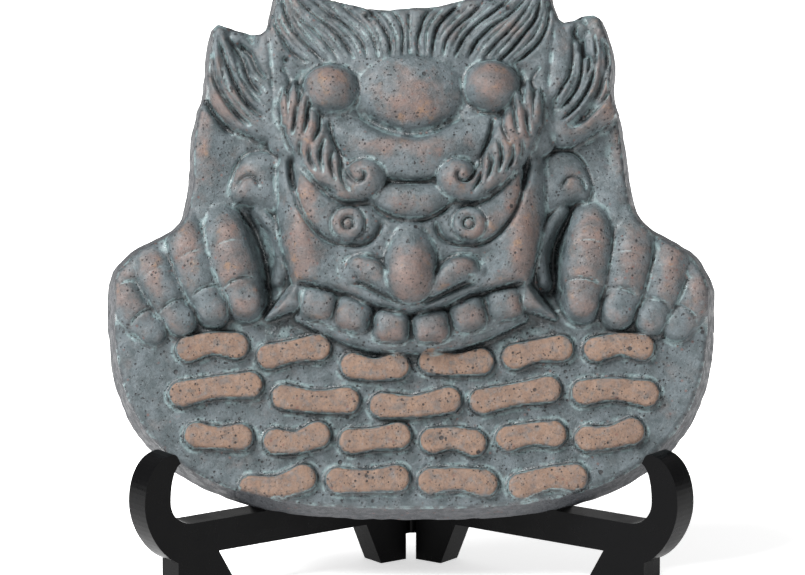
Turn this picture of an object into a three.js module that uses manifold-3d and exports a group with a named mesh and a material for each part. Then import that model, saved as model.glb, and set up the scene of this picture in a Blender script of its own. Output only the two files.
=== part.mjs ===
import * as THREE from 'three';
import Module from 'manifold-3d';

const wasm = await Module();
wasm.setup();

// Sizes are in millimetres and angles in degrees.
// The tile is worked out in its own plane: across, up from its lowest point, and out from its flat back.
const boardHalfWidth = 110;
const boardShoulderHeight = 80;
const boardSquareness = 2.8;
const boardThickness = 15;
const wallDraft = 3.4;
const headDraft = 2.4;
const leanAngle = 18;
const strokeRise = 3.4;
const strokeHalfWidth = 5;
const backHollowHeight = 122;
const backHollowHalfWidth = 52;
const backHollowHalfHeight = 40;
const backHollowDepth = 17;

// The stand: two moulded halves that open from a hinge at the back.
const panelThickness = 10.4;
const openAngle = 54;
const armTop = 27.2;
const armUnderside = 15.5;
const footInnerRun = 80;
const footOuterRun = 106.6;
const footTaper = 9;
const slotRun = 109.7;
const slotRound = 9;
const hookThickness = 11.1;
const hookHeight = 53.5;
const hookTipReach = 4.4;
const hookTipDrop = 3.6;
const seatBehindSlot = 18.6;
const backFootRun = 17.2;
const backFootTopRun = 23.8;
const panelStartRun = 6;
const postWidth = 9;
const restBarWidth = 10;
const restTopWidth = 2.5;
const knuckleRadius = 4.4;
const knuckleHeight = 9.5;
const lowKnuckleLevel = 9;
const pegRadius = 2;
const clearance = 0.3;

const radians = Math.PI / 180;
const lean = leanAngle * radians;
const open = openAngle * radians;
const hands = [-1, 1];

// The carving is drawn for a board of these sizes and follows the named ones.
const drawnHalfWidth = 110;
const drawnShoulder = 80;
const drawnThickness = 15;
const unit = boardHalfWidth / drawnHalfWidth;

function clamp(value, low, high) {
  return Math.min(high, Math.max(low, value));
}

function mix(a, b, share) {
  return a + (b - a) * share;
}

function placed([across, up, ...rest]) {
  const raised = up < drawnShoulder
    ? (up * boardShoulderHeight) / drawnShoulder
    : boardShoulderHeight + (up - drawnShoulder) * unit;
  return [across * unit, raised, ...rest];
}

function levelOf(drawn) {
  return boardThickness + (drawn - drawnThickness) * unit;
}

function mirrored(points, hand) {
  return points.map(([across, ...rest]) => [across * hand, ...rest]);
}

// A list for the right half, continued by its mirror image on the left.
function bothHalves(right) {
  const start = right[0][0] === 0 ? 1 : 0;
  return [...mirrored(right.slice(start).reverse(), -1), ...right];
}

// A smooth line through a few points, with whatever values the points carry.
function smoothLine(points, closed = false, steps = 5) {
  const line = [];
  const count = points.length;
  const spans = closed ? count : count - 1;
  const pick = (index) => (closed ? points[(index + count) % count] : points[clamp(index, 0, count - 1)]);
  for (let span = 0; span < spans; span += 1) {
    const [a, b, c, d] = [pick(span - 1), pick(span), pick(span + 1), pick(span + 2)];
    for (let step = 0; step < steps; step += 1) {
      const t = step / steps;
      line.push(b.map((value, axis) => 0.5 * (2 * value + (c[axis] - a[axis]) * t
        + (2 * a[axis] - 5 * value + 4 * c[axis] - d[axis]) * t * t
        + (3 * value - a[axis] - 3 * c[axis] + d[axis]) * t ** 3)));
    }
  }
  if (!closed) {
    line.push([...points[count - 1]]);
  }
  return line;
}

// Outline of the tile at its flat back, counter-clockwise from the left shoulder.
const boardSteps = 44;
const crownRight = [[110, 83], [108, 88.5], [103.5, 95.8], [95.5, 101.2], [87, 106], [82.5, 111], [79.8, 121],
  [78, 134], [76.5, 144.5], [74, 153], [74.4, 166], [71.5, 177], [68.6, 183.2], [62, 183.4], [57, 181],
  [53.8, 182.4], [51.6, 189.5], [47.8, 196.2], [40, 195.6], [28, 191.5], [17.8, 189], [8, 186.8]];
const crownLeft = [[110, 84], [108, 90.2], [101.7, 97.2], [93.5, 101.9], [86.6, 105.3], [83.2, 110], [80.9, 122],
  [80.2, 137], [78.2, 147.6], [76.2, 154], [74.9, 167], [73.4, 176], [70.8, 180.2], [62.5, 178.2], [56.3, 176.4],
  [53.2, 178], [51, 188], [46.2, 195.6], [38, 194], [28.7, 189.4], [18.5, 186.4], [9, 185.3]];
const outlineSpacing = 2.2;

function tileOutline() {
  const power = 2 / boardSquareness;
  const line = Array.from({ length: boardSteps }, (_, step) => {
    const angle = Math.PI * (1 + step / boardSteps);
    const across = Math.cos(angle);
    const up = Math.sin(angle);
    return [
      boardHalfWidth * Math.sign(across) * Math.abs(across) ** power,
      boardShoulderHeight * (1 + Math.sign(up) * Math.abs(up) ** power),
    ];
  });
  const crown = [...crownRight, ...mirrored(crownLeft, -1).reverse()].map(placed);
  line.push(...smoothLine(crown, false, 3));
  const kept = [];
  for (const point of line) {
    const last = kept[kept.length - 1];
    if (!last || Math.hypot(point[0] - last[0], point[1] - last[1]) > outlineSpacing) {
      kept.push(point);
    }
  }
  return kept;
}

// The outline moved inward, with its corners eased over two neighbours on each side.
function insetOutline(line, amountAt) {
  const count = line.length;
  const neighbours = [-2, -1, 0, 1, 2];
  const normals = line.map((point, index) => {
    const before = line[(index + count - 1) % count];
    const after = line[(index + 1) % count];
    const length = Math.hypot(after[0] - before[0], after[1] - before[1]);
    return [-(after[1] - before[1]) / length, (after[0] - before[0]) / length];
  });
  return line.map((point, index) => {
    const near = neighbours.map((step) => normals[(index + step + count) % count]);
    const [across, up] = [0, 1].map((axis) => near.reduce((sum, normal) => sum + normal[axis], 0));
    const amount = amountAt(point) / Math.hypot(across, up);
    return [point[0] + across * amount, point[1] + up * amount];
  });
}

// A square field of heights over the tile's plane that is worked like clay.
const cells = 256;
const side = cells + 1;
const fieldSpan = 2.12 * Math.max(boardHalfWidth, (boardShoulderHeight + 117 * unit) / 1.84);
const cell = fieldSpan / cells;
const origin = [-fieldSpan / 2, -fieldSpan * 0.06];
const height = new Float64Array(side * side).fill(boardThickness);
const reliefCorners = 3150;

function eachCell(low, high, work) {
  const first = [0, 1].map((axis) => clamp(Math.floor((low[axis] - origin[axis]) / cell), 0, cells));
  const last = [0, 1].map((axis) => clamp(Math.ceil((high[axis] - origin[axis]) / cell), 0, cells));
  for (let row = first[1]; row <= last[1]; row += 1) {
    for (let column = first[0]; column <= last[0]; column += 1) {
      const index = row * side + column;
      height[index] = work(origin[0] + column * cell, origin[1] + row * cell, height[index]);
    }
  }
}

function eachNear(line, reach, work) {
  const ends = [Math.min, Math.max].map((pick) => [0, 1].map((axis) => pick(...line.map((point) => point[axis]))));
  eachCell(ends[0].map((value) => value - reach), ends[1].map((value) => value + reach), work);
}

function softMax(a, b, softness) {
  const share = clamp(0.5 + 0.5 * (a - b) / softness, 0, 1);
  return mix(b, a, share) + softness * share * (1 - share);
}

// The nearest place on an open line: how far, how far along it, and the values carried there.
function nearestOn(line, across, up) {
  const found = { distance: Infinity, share: 0, values: [] };
  let start = 0;
  for (let index = 1; index < line.length; index += 1) {
    const [a, b] = [line[index - 1], line[index]];
    const [run, rise] = [b[0] - a[0], b[1] - a[1]];
    const length = Math.hypot(run, rise);
    const share = clamp(((across - a[0]) * run + (up - a[1]) * rise) / (length * length), 0, 1);
    const distance = Math.hypot(across - a[0] - share * run, up - a[1] - share * rise);
    if (distance < found.distance) {
      found.distance = distance;
      found.share = start + share * length;
      found.values = a.slice(2).map((value, axis) => mix(value, b[axis + 2], share));
    }
    start += length;
  }
  found.share /= start;
  return found;
}

// Distance to a closed outline, positive inside it.
function insideBy(line, across, up) {
  let best = Infinity;
  let odd = false;
  line.forEach((a, index) => {
    const b = line[(index + 1) % line.length];
    const [run, rise] = [b[0] - a[0], b[1] - a[1]];
    const share = clamp(((across - a[0]) * run + (up - a[1]) * rise) / (run * run + rise * rise), 0, 1);
    best = Math.min(best, Math.hypot(across - a[0] - share * run, up - a[1] - share * rise));
    if ((a[1] > up) !== (b[1] > up) && across < a[0] + (up - a[1]) * run / rise) {
      odd = !odd;
    }
  });
  return odd ? best : -best;
}

function spreadFrom(centre, radii, turn, square = 2) {
  const [middleAcross, middleUp] = placed(centre);
  const [c, s] = [Math.cos(turn * radians), Math.sin(turn * radians)];
  return (across, up) => {
    const [a, b] = [(across - middleAcross) / unit, (up - middleUp) / unit];
    return Math.abs((a * c + b * s) / radii[0]) ** square + Math.abs((-a * s + b * c) / radii[1]) ** square;
  };
}

// A rounded lump standing on a given level; a higher squareness makes it a pad.
function dome(centre, radii, foot, rise, { soft = 1.5, turn = 0, power = 0.5, square = 2 } = {}) {
  const spreadAt = spreadFrom(centre, radii, turn, square);
  const steep = 3 * Math.min(...radii);
  eachNear([placed(centre)], Math.max(...radii) * 1.4 * unit, (across, up, now) => {
    const spread = spreadAt(across, up);
    const top = spread > 1 ? foot - steep * (spread ** (1 / square) - 1) : foot + rise * (1 - spread) ** power;
    return softMax(now, levelOf(top), soft * unit);
  });
}

// A soft swelling, or a hollow where the rise is negative.
function swell(centre, radii, rise, turn = 0) {
  const spreadAt = spreadFrom(centre, radii, turn);
  eachNear([placed(centre)], Math.max(...radii) * 2.4 * unit, (across, up, now) => (
    now + rise * unit * Math.exp(-spreadAt(across, up))));
}

// A mass inside a closed outline, with its edge rounded over.
function slab(points, foot, rise, edge, soft = 1) {
  const line = smoothLine(points, true).map(placed);
  eachNear(line, 3 * unit, (across, up, now) => {
    const inner = insideBy(line, across, up) / unit;
    const round = Math.sqrt(1 - (1 - clamp(inner / edge, 0, 1)) ** 2);
    return softMax(now, levelOf(inner < 0 ? foot + inner * 3 : foot + rise * round), soft * unit);
  });
}

// Clay inside a closed outline pressed down to a level.
function press(points, level, soft = 1.2) {
  const line = smoothLine(points, true).map(placed);
  eachNear(line, 4 * unit, (across, up, now) => {
    const outside = Math.max(-insideBy(line, across, up) / unit, 0);
    return -softMax(-now, -levelOf(level + outside * 2.7), soft * unit);
  });
}

// A roll of clay along a line of points that give across, up, half width and top level.
function roll(points, { drop = 5, soft = 1 } = {}) {
  const line = smoothLine(points).map(placed);
  const reach = (Math.max(...line.map((point) => point[2])) * 1.6 + 1) * unit;
  eachNear(line, reach, (across, up, now) => {
    const { distance, values: [half, top] } = nearestOn(line, across, up);
    const spread = distance / unit / half;
    const lift = spread > 1 ? -(distance / unit - half) * 3 : drop * Math.sqrt(1 - spread * spread);
    return distance > reach ? now : softMax(now, levelOf(top - drop + lift), soft * unit);
  });
}

// A groove pressed along a line, running out at both ends.
function groove(points, half, depth, ends = 0.15) {
  const line = smoothLine(points).map(placed);
  eachNear(line, half * 3 * unit, (across, up, now) => {
    const { distance, share } = nearestOn(line, across, up);
    const fade = clamp(Math.min(share, 1 - share) / ends, 0, 1) ** 0.7;
    return now - depth * unit * fade * Math.exp(-((distance / unit / half) ** 2));
  });
}

// Grooves side by side, fanned out between guide lines.
function strands(guides, count, half, depth, ends = 0.2) {
  for (let index = 0; index < count; index += 1) {
    const spot = (index / (count - 1)) * (guides.length - 1);
    const from = Math.min(Math.floor(spot), guides.length - 2);
    groove(guides[from].map((point, step) => point.map((value, axis) => (
      mix(value, guides[from + 1][step][axis], spot - from)))), half, depth, ends);
  }
}

// A raised stroke with steep sides and a nearly flat top; its points carry a share of the half width.
function raisedStroke(points) {
  const line = smoothLine(points).map(placed);
  eachNear(line, strokeHalfWidth * 1.2 + 1, (across, up, now) => {
    const { distance, values: [share] } = nearestOn(line, across, up);
    const half = strokeHalfWidth * share;
    const wall = clamp((half - distance) / 1.1, 0, 1);
    const crown = 0.15 * clamp(1 - (distance / half) ** 2, 0, 1);
    return Math.max(now, boardThickness + strokeRise * (1 + crown) * wall);
  });
}

// Ground behind the head, a little prouder than the board.
eachCell(placed([-drawnHalfWidth, 72]), placed([drawnHalfWidth, 200]), (across, up, now) => (
  now + 2.2 * unit * clamp((up - boardShoulderHeight) / (25 * unit) + 0.16, 0, 1)));

// Hair: two peaks that sweep down to the brow, and the sides of the head.
for (const hand of hands) {
  const at = (...points) => mirrored(points, hand);
  roll(at([42, 191, 8, 21], [40.5, 181, 14, 24], [34, 171.5, 15, 26], [26, 162, 13, 27]), { drop: 8, soft: 5 });
  roll(at([22.5, 180, 9, 22], [14, 173, 11, 26], [12, 160, 10, 28]), { drop: 8, soft: 5 });
  roll(at([48, 179.5, 6, 21.5], [49, 166, 9, 24], [46.5, 151, 9.5, 25.5], [45, 135, 6.5, 26]), { drop: 7, soft: 4 });
}
roll([[-1, 178.5, 8, 22], [-1, 164, 9, 27]], { drop: 7, soft: 5 });

// A tuft over each ear.
roll([[-69, 174.5, 3.5, 20], [-67.5, 162, 8, 23.5], [-62, 150.5, 9.5, 25], [-52, 141, 6.5, 24.5]],
  { drop: 7, soft: 3 });
roll([[-63, 171, 4, 19.5], [-56.5, 162, 7, 22], [-50.5, 150.5, 6, 24]], { drop: 6, soft: 3.5 });
roll([[66.5, 177.5, 4, 20], [69, 164.5, 8.5, 24], [67, 150.5, 9, 25], [55, 139, 6.5, 25]], { drop: 7, soft: 3 });
roll([[58, 174.5, 6, 20], [58, 162, 9, 23.5], [53, 150.5, 8, 25]], { drop: 6, soft: 4 });

// Face with a steep edge all round, fuller in the middle.
const faceRight = [[0, 162], [39.5, 154], [47, 143.5], [49, 128], [49, 112], [48, 99], [45.5, 90.5], [43, 84],
  [40, 77], [25, 68], [0, 64]];
slab([...faceRight, ...mirrored(faceRight.slice(1, -1).reverse(), -1)], 15.5, 12.5, 11, 2.5);
dome([0, 113], [46, 70], 22, 8.5, { soft: 3, power: 0.6 });

// Below the jaw the head ends on the upper edge of the board.
const jawLine = smoothLine(bothHalves([[0, 61.7], [14, 63.2], [26, 66.8], [38, 72], [43, 73], [52, 70.3],
  [59, 69.5]])).map(placed);
const jawEdgeWidth = 2.2 * unit;
eachNear(jawLine, 12 * unit, (across, up, now) => {
  const index = jawLine.findIndex((point) => point[0] >= across);
  if (index < 1) {
    return now;
  }
  const [from, to] = [jawLine[index - 1], jawLine[index]];
  const edge = mix(from[1], to[1], (across - from[0]) / (to[0] - from[0]));
  return mix(Math.min(now, boardThickness), now, clamp((up - edge) / jawEdgeWidth + 0.5, 0, 1));
});

// Cheeks, with a hollow beside each wing of the nose.
for (const hand of hands) {
  swell([hand * 39.8, 99.5], [7, 15], 2.7, hand * 8);
  swell([hand * 25.5, 92.7], [5, 5], -1.4);
}

// Eyes: the ball, the iris, and the groove of the lower lid.
for (const hand of hands) {
  const at = (...points) => mirrored(points, hand).map(([across, ...rest]) => [across - 0.9, ...rest]);
  roll(at([37.5, 124, 5, 29.5], [34.2, 114, 7, 31.2], [26.8, 105.8, 8, 32], [19.5, 104.5, 8, 32]),
    { drop: 6, soft: 3 });
  groove(at([42.3, 129], [41.6, 121], [39.5, 112], [35.8, 105], [29.5, 99], [21, 96.7], [14.5, 97.5], [11, 101],
    [9.3, 106]), 1.5, 3.6, 0.05);
  groove(at([42.5, 130], [42, 123.7], [40.9, 116.5]), 1.9, 3.4, 0.3);
  const [iris] = at([21.6, 104.3]);
  dome(iris, [6.2, 6], 31.5, 2.2, { soft: 0.6, power: 0.4 });
  swell(iris, [2.5, 2.5], -2.6);
}

// Forehead: plate, bowl and boss.
roll(bothHalves([[0, 129, 12, 35], [14, 131, 11, 34], [27, 136.2, 8, 31]]), { drop: 8, soft: 4 });
groove(bothHalves([[0, 119.5], [5, 120], [9.3, 121]]), 1.6, 3, 0.05);
dome([-0.5, 150.5], [19.5, 14.5], 27, 6.5, { soft: 4, power: 0.7 });
groove(bothHalves([[0, 136.6], [5.5, 137.3], [10.5, 139.2], [15.8, 143], [19.3, 149.5]]), 2.6, 4.2, 0.3);
swell([-0.5, 147], [12, 7], 1.5);

// Strands of the hair and of the tufts.
for (const hand of hands) {
  const at = (...points) => mirrored(points, hand);
  strands([
    at([49, 189], [49.5, 179.5], [46.5, 172], [42, 166.5], [36.5, 162.5]),
    at([41.5, 188], [33.5, 181.5], [26.5, 177], [21, 171.5], [17.5, 164]),
    at([8.5, 184], [5, 180], [3.2, 175.5], [2.6, 170.5], [3.4, 164.5]),
  ], 7, 1.1, 2.8);
  groove(at([51, 188], [51.5, 178], [50.5, 167], [49.5, 153], [49.5, 139]), 1.1, 2.4);
}
strands([
  [[-72, 172], [-71.5, 161], [-67.5, 150.5], [-60.5, 142], [-53.5, 138]],
  [[-70.5, 174], [-66.5, 165.5], [-63.5, 155.5], [-58, 147], [-50.5, 140.5]],
  [[-63.5, 171.5], [-59.5, 167.5], [-57, 162.5], [-53.5, 157.5], [-50, 152.5]],
], 5, 1.2, 2.8);
strands([
  [[70, 172], [71.5, 163], [71, 153.5], [66, 145.5], [57.5, 138.5]],
  [[68, 175], [68.2, 165], [66.5, 155], [61.5, 146.5], [54, 140]],
  [[58.5, 173.5], [58, 166], [57, 159], [54.5, 154], [51.5, 149]],
], 5, 1.2, 2.8);

// Horns.
for (const hand of hands) {
  dome([hand * 28.8, 153.2 + hand * 0.7], [10.5, 9.6], 25.5, 11, { soft: 3.5, power: 0.6 });
}

// Wrinkle over the nose.
roll(bothHalves([[0, 112.5, 5.8, 35.2], [6, 112.5, 5.6, 34.8], [12.5, 113, 5.2, 33]]), { drop: 4, soft: 1.2 });
groove(bothHalves([[0, 105.5], [6.5, 106], [12, 107.5]]), 1.6, 3.2, 0.06);

// Brows that end in a curl.
for (const hand of hands) {
  const at = (...points) => mirrored(points, hand);
  roll(at([41, 150.3, 4.6, 29], [38.8, 141.6, 6.9, 33], [35.4, 133.6, 6.9, 34.5], [30.7, 125.8, 6.4, 35.5],
    [24.9, 118.7, 5.6, 36.2], [18.4, 116.9, 4.4, 36.5]), { drop: 5, soft: 1.2 });
  dome([hand * 16.4, 120.4], [7.4, 7.2], 31, 7.5, { soft: 0.8 });
  strands([
    at([44, 146], [42.5, 137], [37.5, 127], [30.5, 118.5], [23, 114.5]),
    at([38.5, 148.5], [34.5, 140.5], [31.5, 133], [27.5, 126], [22.5, 120.5]),
  ], 4, 0.9, 1.8);
  groove(at([29.5, 142.5], [28, 135.5], [25, 129], [22.3, 122.5], [19, 119], [15.9, 119.6], [15, 122.2], [17, 123.5]),
    0.9, 2.4);
}

// Nose with its wings.
roll([[0, 104, 5.5, 32], [0, 98, 8, 35.2], [0, 92, 9.4, 38.8], [-0.5, 86.5, 9.6, 40.4]], { drop: 10, soft: 3 });
dome([-0.5, 85.5], [9.8, 10.6], 28, 13.5, { soft: 2.5, power: 0.55 });
for (const hand of hands) {
  const at = (...points) => mirrored(points, hand).map(([across, ...rest]) => [across + 0.5, ...rest]);
  roll(at([23.5, 87.5, 3.4, 30], [20, 89, 4.4, 33.6], [16, 88, 4.9, 35], [11.5, 85, 4.4, 35.4], [7, 81, 3, 33]),
    { drop: 5, soft: 1.8 });
  groove(at([24.5, 87], [23, 91], [19, 92.7], [13, 91.5], [9.5, 88], [8, 85]), 0.9, 2);
  groove(at([23.5, 83], [18.5, 82.5], [13, 80], [7, 77], [2.7, 75]), 0.9, 1.8);
}

// Mouth: teeth in a sunk band, the lips, and a tusk at each corner.
const mouthTop = [[0, 71.5], [7.8, 73], [15.8, 75.5], [23.8, 79.2], [32, 81.5], [41, 83.5]];
const mouthFoot = [[0, 62], [14, 63.5], [26.5, 67.2], [40.3, 73.8]];
press([...bothHalves(mouthTop), ...bothHalves(mouthFoot).reverse()], 22.5);
for (const hand of hands) {
  const at = (...points) => mirrored(points, hand);
  for (const [across, up, half, tall, turn, top] of [
    [7, 68.2, 6.9, 6.4, 5, 29], [20.5, 72.6, 6.8, 6.8, 17, 27.8], [33.2, 76.2, 6.6, 6.2, 10, 26]]) {
    dome([hand * across, up], [half, tall], 20, top - 20, { soft: 0.4, turn: hand * turn, square: 3.4 });
  }
  slab(at([41.2, 85.5], [38.8, 80], [38.5, 75], [45, 73], [52.2, 71.2], [47.2, 78.5]), 17, 6.5, 3.5, 0.6);
}
roll(bothHalves([[0, 62, 2.8, 22.4], [14, 63, 2.6, 22], [26.5, 66.5, 2.4, 21], [40, 72, 1.8, 19.5]]),
  { drop: 2.5, soft: 1.8 });
groove(bothHalves(mouthTop), 0.9, 1.4, 0.06);

// Ears.
for (const hand of hands) {
  const at = (...points) => mirrored(points, hand);
  slab(at([45.5, 129], [48.5, 131.3], [53.5, 132.2], [58.8, 131.2], [62.5, 126.7], [65, 119], [63.3, 113.5],
    [57.8, 111.8], [51.8, 109.8], [45.5, 110.3]), 16.6, 4.9, 8, 2.8);
  groove(at([54, 118], [56, 121.8], [58.7, 122.5], [61.5, 121], [63.5, 117]), 0.9, 1.8, 0.2);
}

// Hollows between the hands and the face.
groove([[-63, 112], [-58, 107], [-54.5, 98], [-53, 88.5], [-53, 81], [-55.5, 74.5]], 3.6, 7, 0.2);
groove([[63, 113], [56.5, 108], [51.5, 99.5], [49.5, 89.5], [50, 81.5], [51.5, 74.5]], 3.6, 7, 0.2);

// Hands over the board's shoulders, each finger a line from the knuckle to the tip.
const fingers = [
  { half: 8.4, top: 27, line: [[-69.3, 114], [-67.3, 101.5], [-63.5, 89], [-59.8, 78.5]] },
  { half: 8.2, top: 25.4, line: [[-82.3, 115.5], [-80.3, 100], [-76, 86.5], [-71.5, 75.7]] },
  { half: 7.9, top: 23.2, line: [[-96.7, 106], [-93.2, 91.5], [-88, 80.5], [-83, 71.3]] },
  { half: 7.7, top: 21.2, line: [[-107.2, 96.7], [-104, 83.5], [-99, 74.6], [-93.5, 67.7]] },
  { half: 8.4, top: 27, line: [[65.3, 115], [64.6, 101.5], [62.9, 88], [61.4, 78.2]] },
  { half: 8.2, top: 25.4, line: [[78, 115], [79.3, 99], [77.2, 85.5], [74.4, 75]] },
  { half: 7.8, top: 23.2, line: [[91, 107.5], [92.8, 93], [90, 81.5], [86.3, 71.6]] },
  { half: 7.5, top: 21.2, line: [[105.4, 98], [104.5, 85.5], [100.8, 76], [95.7, 69]] },
];
const fingerWidths = [0.77, 0.97, 1, 0.85];
const fingerDrops = [10.5, 1.6, 0.4, 3];
const nailFold = 0.95;
for (const hand of hands) {
  slab(mirrored([[107.8, 88.8], [97.5, 97], [85, 104.3], [81, 111.5], [66.5, 112.3], [60, 105], [58, 94], [59, 85],
    [75.5, 84], [93.5, 82.5], [105.5, 80.5]], hand), 13, 6.5, 9, 2);
}
for (const { half, top, line } of fingers) {
  roll(line.map((point, index) => [...point, half * fingerWidths[index], top - fingerDrops[index]]),
    { drop: 7, soft: 0.6 });
  const [joint, tip] = line.slice(-2);
  const length = Math.hypot(tip[0] - joint[0], tip[1] - joint[1]);
  const [wayAcross, wayUp] = [(tip[0] - joint[0]) / length, (tip[1] - joint[1]) / length];
  const reach = half * fingerWidths[3];
  const beside = (out, back) => [tip[0] - wayAcross * back - wayUp * out, tip[1] - wayUp * back + wayAcross * out];
  groove([beside(-reach * 0.9, reach * 0.7), beside(0, reach * nailFold), beside(reach * 0.9, reach * 0.7)],
    0.9, 1.5, 0.3);
}

// Rows of raised strokes across the board, bowed under the jaw.
const strokeRows = [
  { up: 61.5, dip: 7, from: -86, to: 89, count: 6 },
  { up: 45.5, dip: 4.5, from: -88, to: 91, count: 5 },
  { up: 29.5, dip: 2, from: -83, to: 85, count: 6 },
  { up: 13, dip: 0, from: -64, to: 65, count: 4 },
];
const jawHalfWidth = 42;
const strokeGap = 2.4;
strokeRows.forEach(({ up, dip, from, to, count }, row) => {
  const pitch = (to - from) / count;
  for (let index = 0; index < count; index += 1) {
    const wave = Math.sin(index * 2.4 + row * 1.7);
    const centre = from + pitch * (index + 0.5);
    const reach = (pitch - strokeGap) / 2 - strokeHalfWidth + wave * 0.6;
    const tilt = (4 + 7 * Math.sin(index * 1.9 + row * 2.6)) * radians;
    const level = up - dip * Math.exp(-((centre / jawHalfWidth) ** 2)) + wave * 0.7;
    raisedStroke([
      [centre - reach * Math.cos(tilt), level - reach * Math.sin(tilt), 1],
      [centre, level + 1.5 * Math.cos(index * 1.3 + row), 0.88],
      [centre + reach * Math.cos(tilt), level + reach * Math.sin(tilt), 1.04],
    ]);
  }
});

// The field is triangulated with large triangles where it is flat and small ones in the carving.
const outline = tileOutline();
const rimWidth = 1.2;
const weight = new Float64Array(side * side);
for (let row = 0; row <= cells; row += 1) {
  for (let column = 0; column <= cells; column += 1) {
    const inner = insideBy(outline, origin[0] + column * cell, origin[1] + row * cell);
    weight[row * side + column] = inner > rimWidth ? 1 : 0;
  }
}

// Corners are added one by one where the flat triangles miss the field most, and edges are
// flipped so that the triangles stay well shaped.
const corners = [];
const cornerOf = [];
const twin = [];
const worst = [];
const changed = [];

function crossOf(a, b, c) {
  return (b[0] - c[0]) * (a[1] - c[1]) - (b[1] - c[1]) * (a[0] - c[0]);
}

function setTriangle(a, b, c, ab, bc, ca, at = cornerOf.length) {
  [a, b, c].forEach((corner, place) => {
    cornerOf[at + place] = corner;
  });
  [ab, bc, ca].forEach((edge, place) => {
    twin[at + place] = edge;
    if (edge >= 0) {
      twin[edge] = at + place;
    }
  });
  changed.push(at / 3);
  return at;
}

function settle(edge) {
  const other = twin[edge];
  if (other < 0) {
    return;
  }
  const firstBase = edge - (edge % 3);
  const otherBase = other - (other % 3);
  const edgeLeft = firstBase + ((edge + 1) % 3);
  const edgeRight = firstBase + ((edge + 2) % 3);
  const otherLeft = otherBase + ((other + 2) % 3);
  const otherRight = otherBase + ((other + 1) % 3);
  const near = cornerOf[edgeRight];
  const right = cornerOf[edge];
  const left = cornerOf[edgeLeft];
  const far = cornerOf[otherLeft];
  const [d, e, f] = [near, right, left].map((corner) => [
    corners[corner][0] - corners[far][0], corners[corner][1] - corners[far][1]]);
  const [dd, ee, ff] = [d, e, f].map((value) => value[0] ** 2 + value[1] ** 2);
  const circle = d[0] * (e[1] * ff - ee * f[1]) - d[1] * (e[0] * ff - ee * f[0]) + dd * (e[0] * f[1] - e[1] * f[0]);
  if (circle >= 0) {
    return;
  }
  const [nearLeft, nearRight, farLeft, farRight] = [twin[edgeLeft], twin[edgeRight], twin[otherLeft], twin[otherRight]];
  const one = setTriangle(near, far, left, -1, farLeft, nearLeft, firstBase);
  const two = setTriangle(far, near, right, one, nearRight, farRight, otherBase);
  settle(one + 1);
  settle(two + 2);
}

function splitEdge(corner, edge) {
  const base = edge - (edge % 3);
  const edgeLeft = base + ((edge + 1) % 3);
  const edgeRight = base + ((edge + 2) % 3);
  const near = cornerOf[edgeRight];
  const right = cornerOf[edge];
  const left = cornerOf[edgeLeft];
  const [nearLeft, nearRight, other] = [twin[edgeLeft], twin[edgeRight], twin[edge]];
  if (other < 0) {
    const one = setTriangle(corner, near, right, -1, nearRight, -1, base);
    const two = setTriangle(near, corner, left, one, -1, nearLeft);
    settle(one + 1);
    settle(two + 2);
    return;
  }
  const otherBase = other - (other % 3);
  const otherLeft = otherBase + ((other + 2) % 3);
  const otherRight = otherBase + ((other + 1) % 3);
  const far = cornerOf[otherLeft];
  const [farLeft, farRight] = [twin[otherLeft], twin[otherRight]];
  const one = setTriangle(near, right, corner, nearRight, -1, -1, base);
  const two = setTriangle(right, far, corner, farRight, -1, one + 1, otherBase);
  const three = setTriangle(far, left, corner, farLeft, -1, two + 1);
  const four = setTriangle(left, near, corner, nearLeft, one + 2, three + 1);
  [one, two, three, four].forEach(settle);
}

function measure(triangle) {
  const [a, b, c] = [0, 1, 2].map((place) => corners[cornerOf[triangle * 3 + place]]);
  const area = crossOf(a, b, c);
  const found = { error: 0, column: 0, row: 0 };
  const [ha, hb, hc] = [a, b, c].map((corner) => height[corner[1] * side + corner[0]]);
  for (let row = Math.min(a[1], b[1], c[1]); row <= Math.max(a[1], b[1], c[1]); row += 1) {
    for (let column = Math.min(a[0], b[0], c[0]); column <= Math.max(a[0], b[0], c[0]); column += 1) {
      const point = [column, row];
      const [wa, wb, wc] = [crossOf(b, c, point), crossOf(c, a, point), crossOf(a, b, point)];
      if (wa >= 0 && wb >= 0 && wc >= 0) {
        const flat = (wa * ha + wb * hb + wc * hc) / area;
        const error = Math.abs(flat - height[row * side + column]) * weight[row * side + column];
        if (error > found.error) {
          Object.assign(found, { error, column, row });
        }
      }
    }
  }
  worst[triangle] = found;
}

corners.push([0, 0], [cells, 0], [0, cells], [cells, cells]);
const firstTriangle = setTriangle(3, 0, 2, -1, -1, -1);
setTriangle(0, 3, 1, firstTriangle, -1, -1);
while (corners.length < reliefCorners) {
  new Set(changed.splice(0)).forEach(measure);
  const order = worst.map((found, triangle) => triangle).sort((one, two) => worst[two].error - worst[one].error);
  const touched = new Set();
  for (const triangle of order.slice(0, Math.ceil(order.length * 0.12))) {
    const { error, column, row } = worst[triangle];
    if (error === 0 || touched.has(triangle) || corners.length >= reliefCorners) {
      continue;
    }
    const first = changed.length;
    const point = [column, row];
    corners.push(point);
    const added = corners.length - 1;
    const base = triangle * 3;
    const [a, b, c] = [0, 1, 2].map((place) => cornerOf[base + place]);
    if (crossOf(corners[a], corners[b], point) === 0) {
      splitEdge(added, base);
    } else if (crossOf(corners[b], corners[c], point) === 0) {
      splitEdge(added, base + 1);
    } else if (crossOf(corners[c], corners[a], point) === 0) {
      splitEdge(added, base + 2);
    } else {
      const [ab, bc, ca] = [twin[base], twin[base + 1], twin[base + 2]];
      const one = setTriangle(a, b, added, ab, -1, -1, base);
      const two = setTriangle(b, c, added, bc, -1, one + 1);
      const three = setTriangle(c, a, added, ca, one + 2, two + 1);
      [one, two, three].forEach(settle);
    }
    changed.slice(first).forEach((value) => touched.add(value));
  }
}

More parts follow.
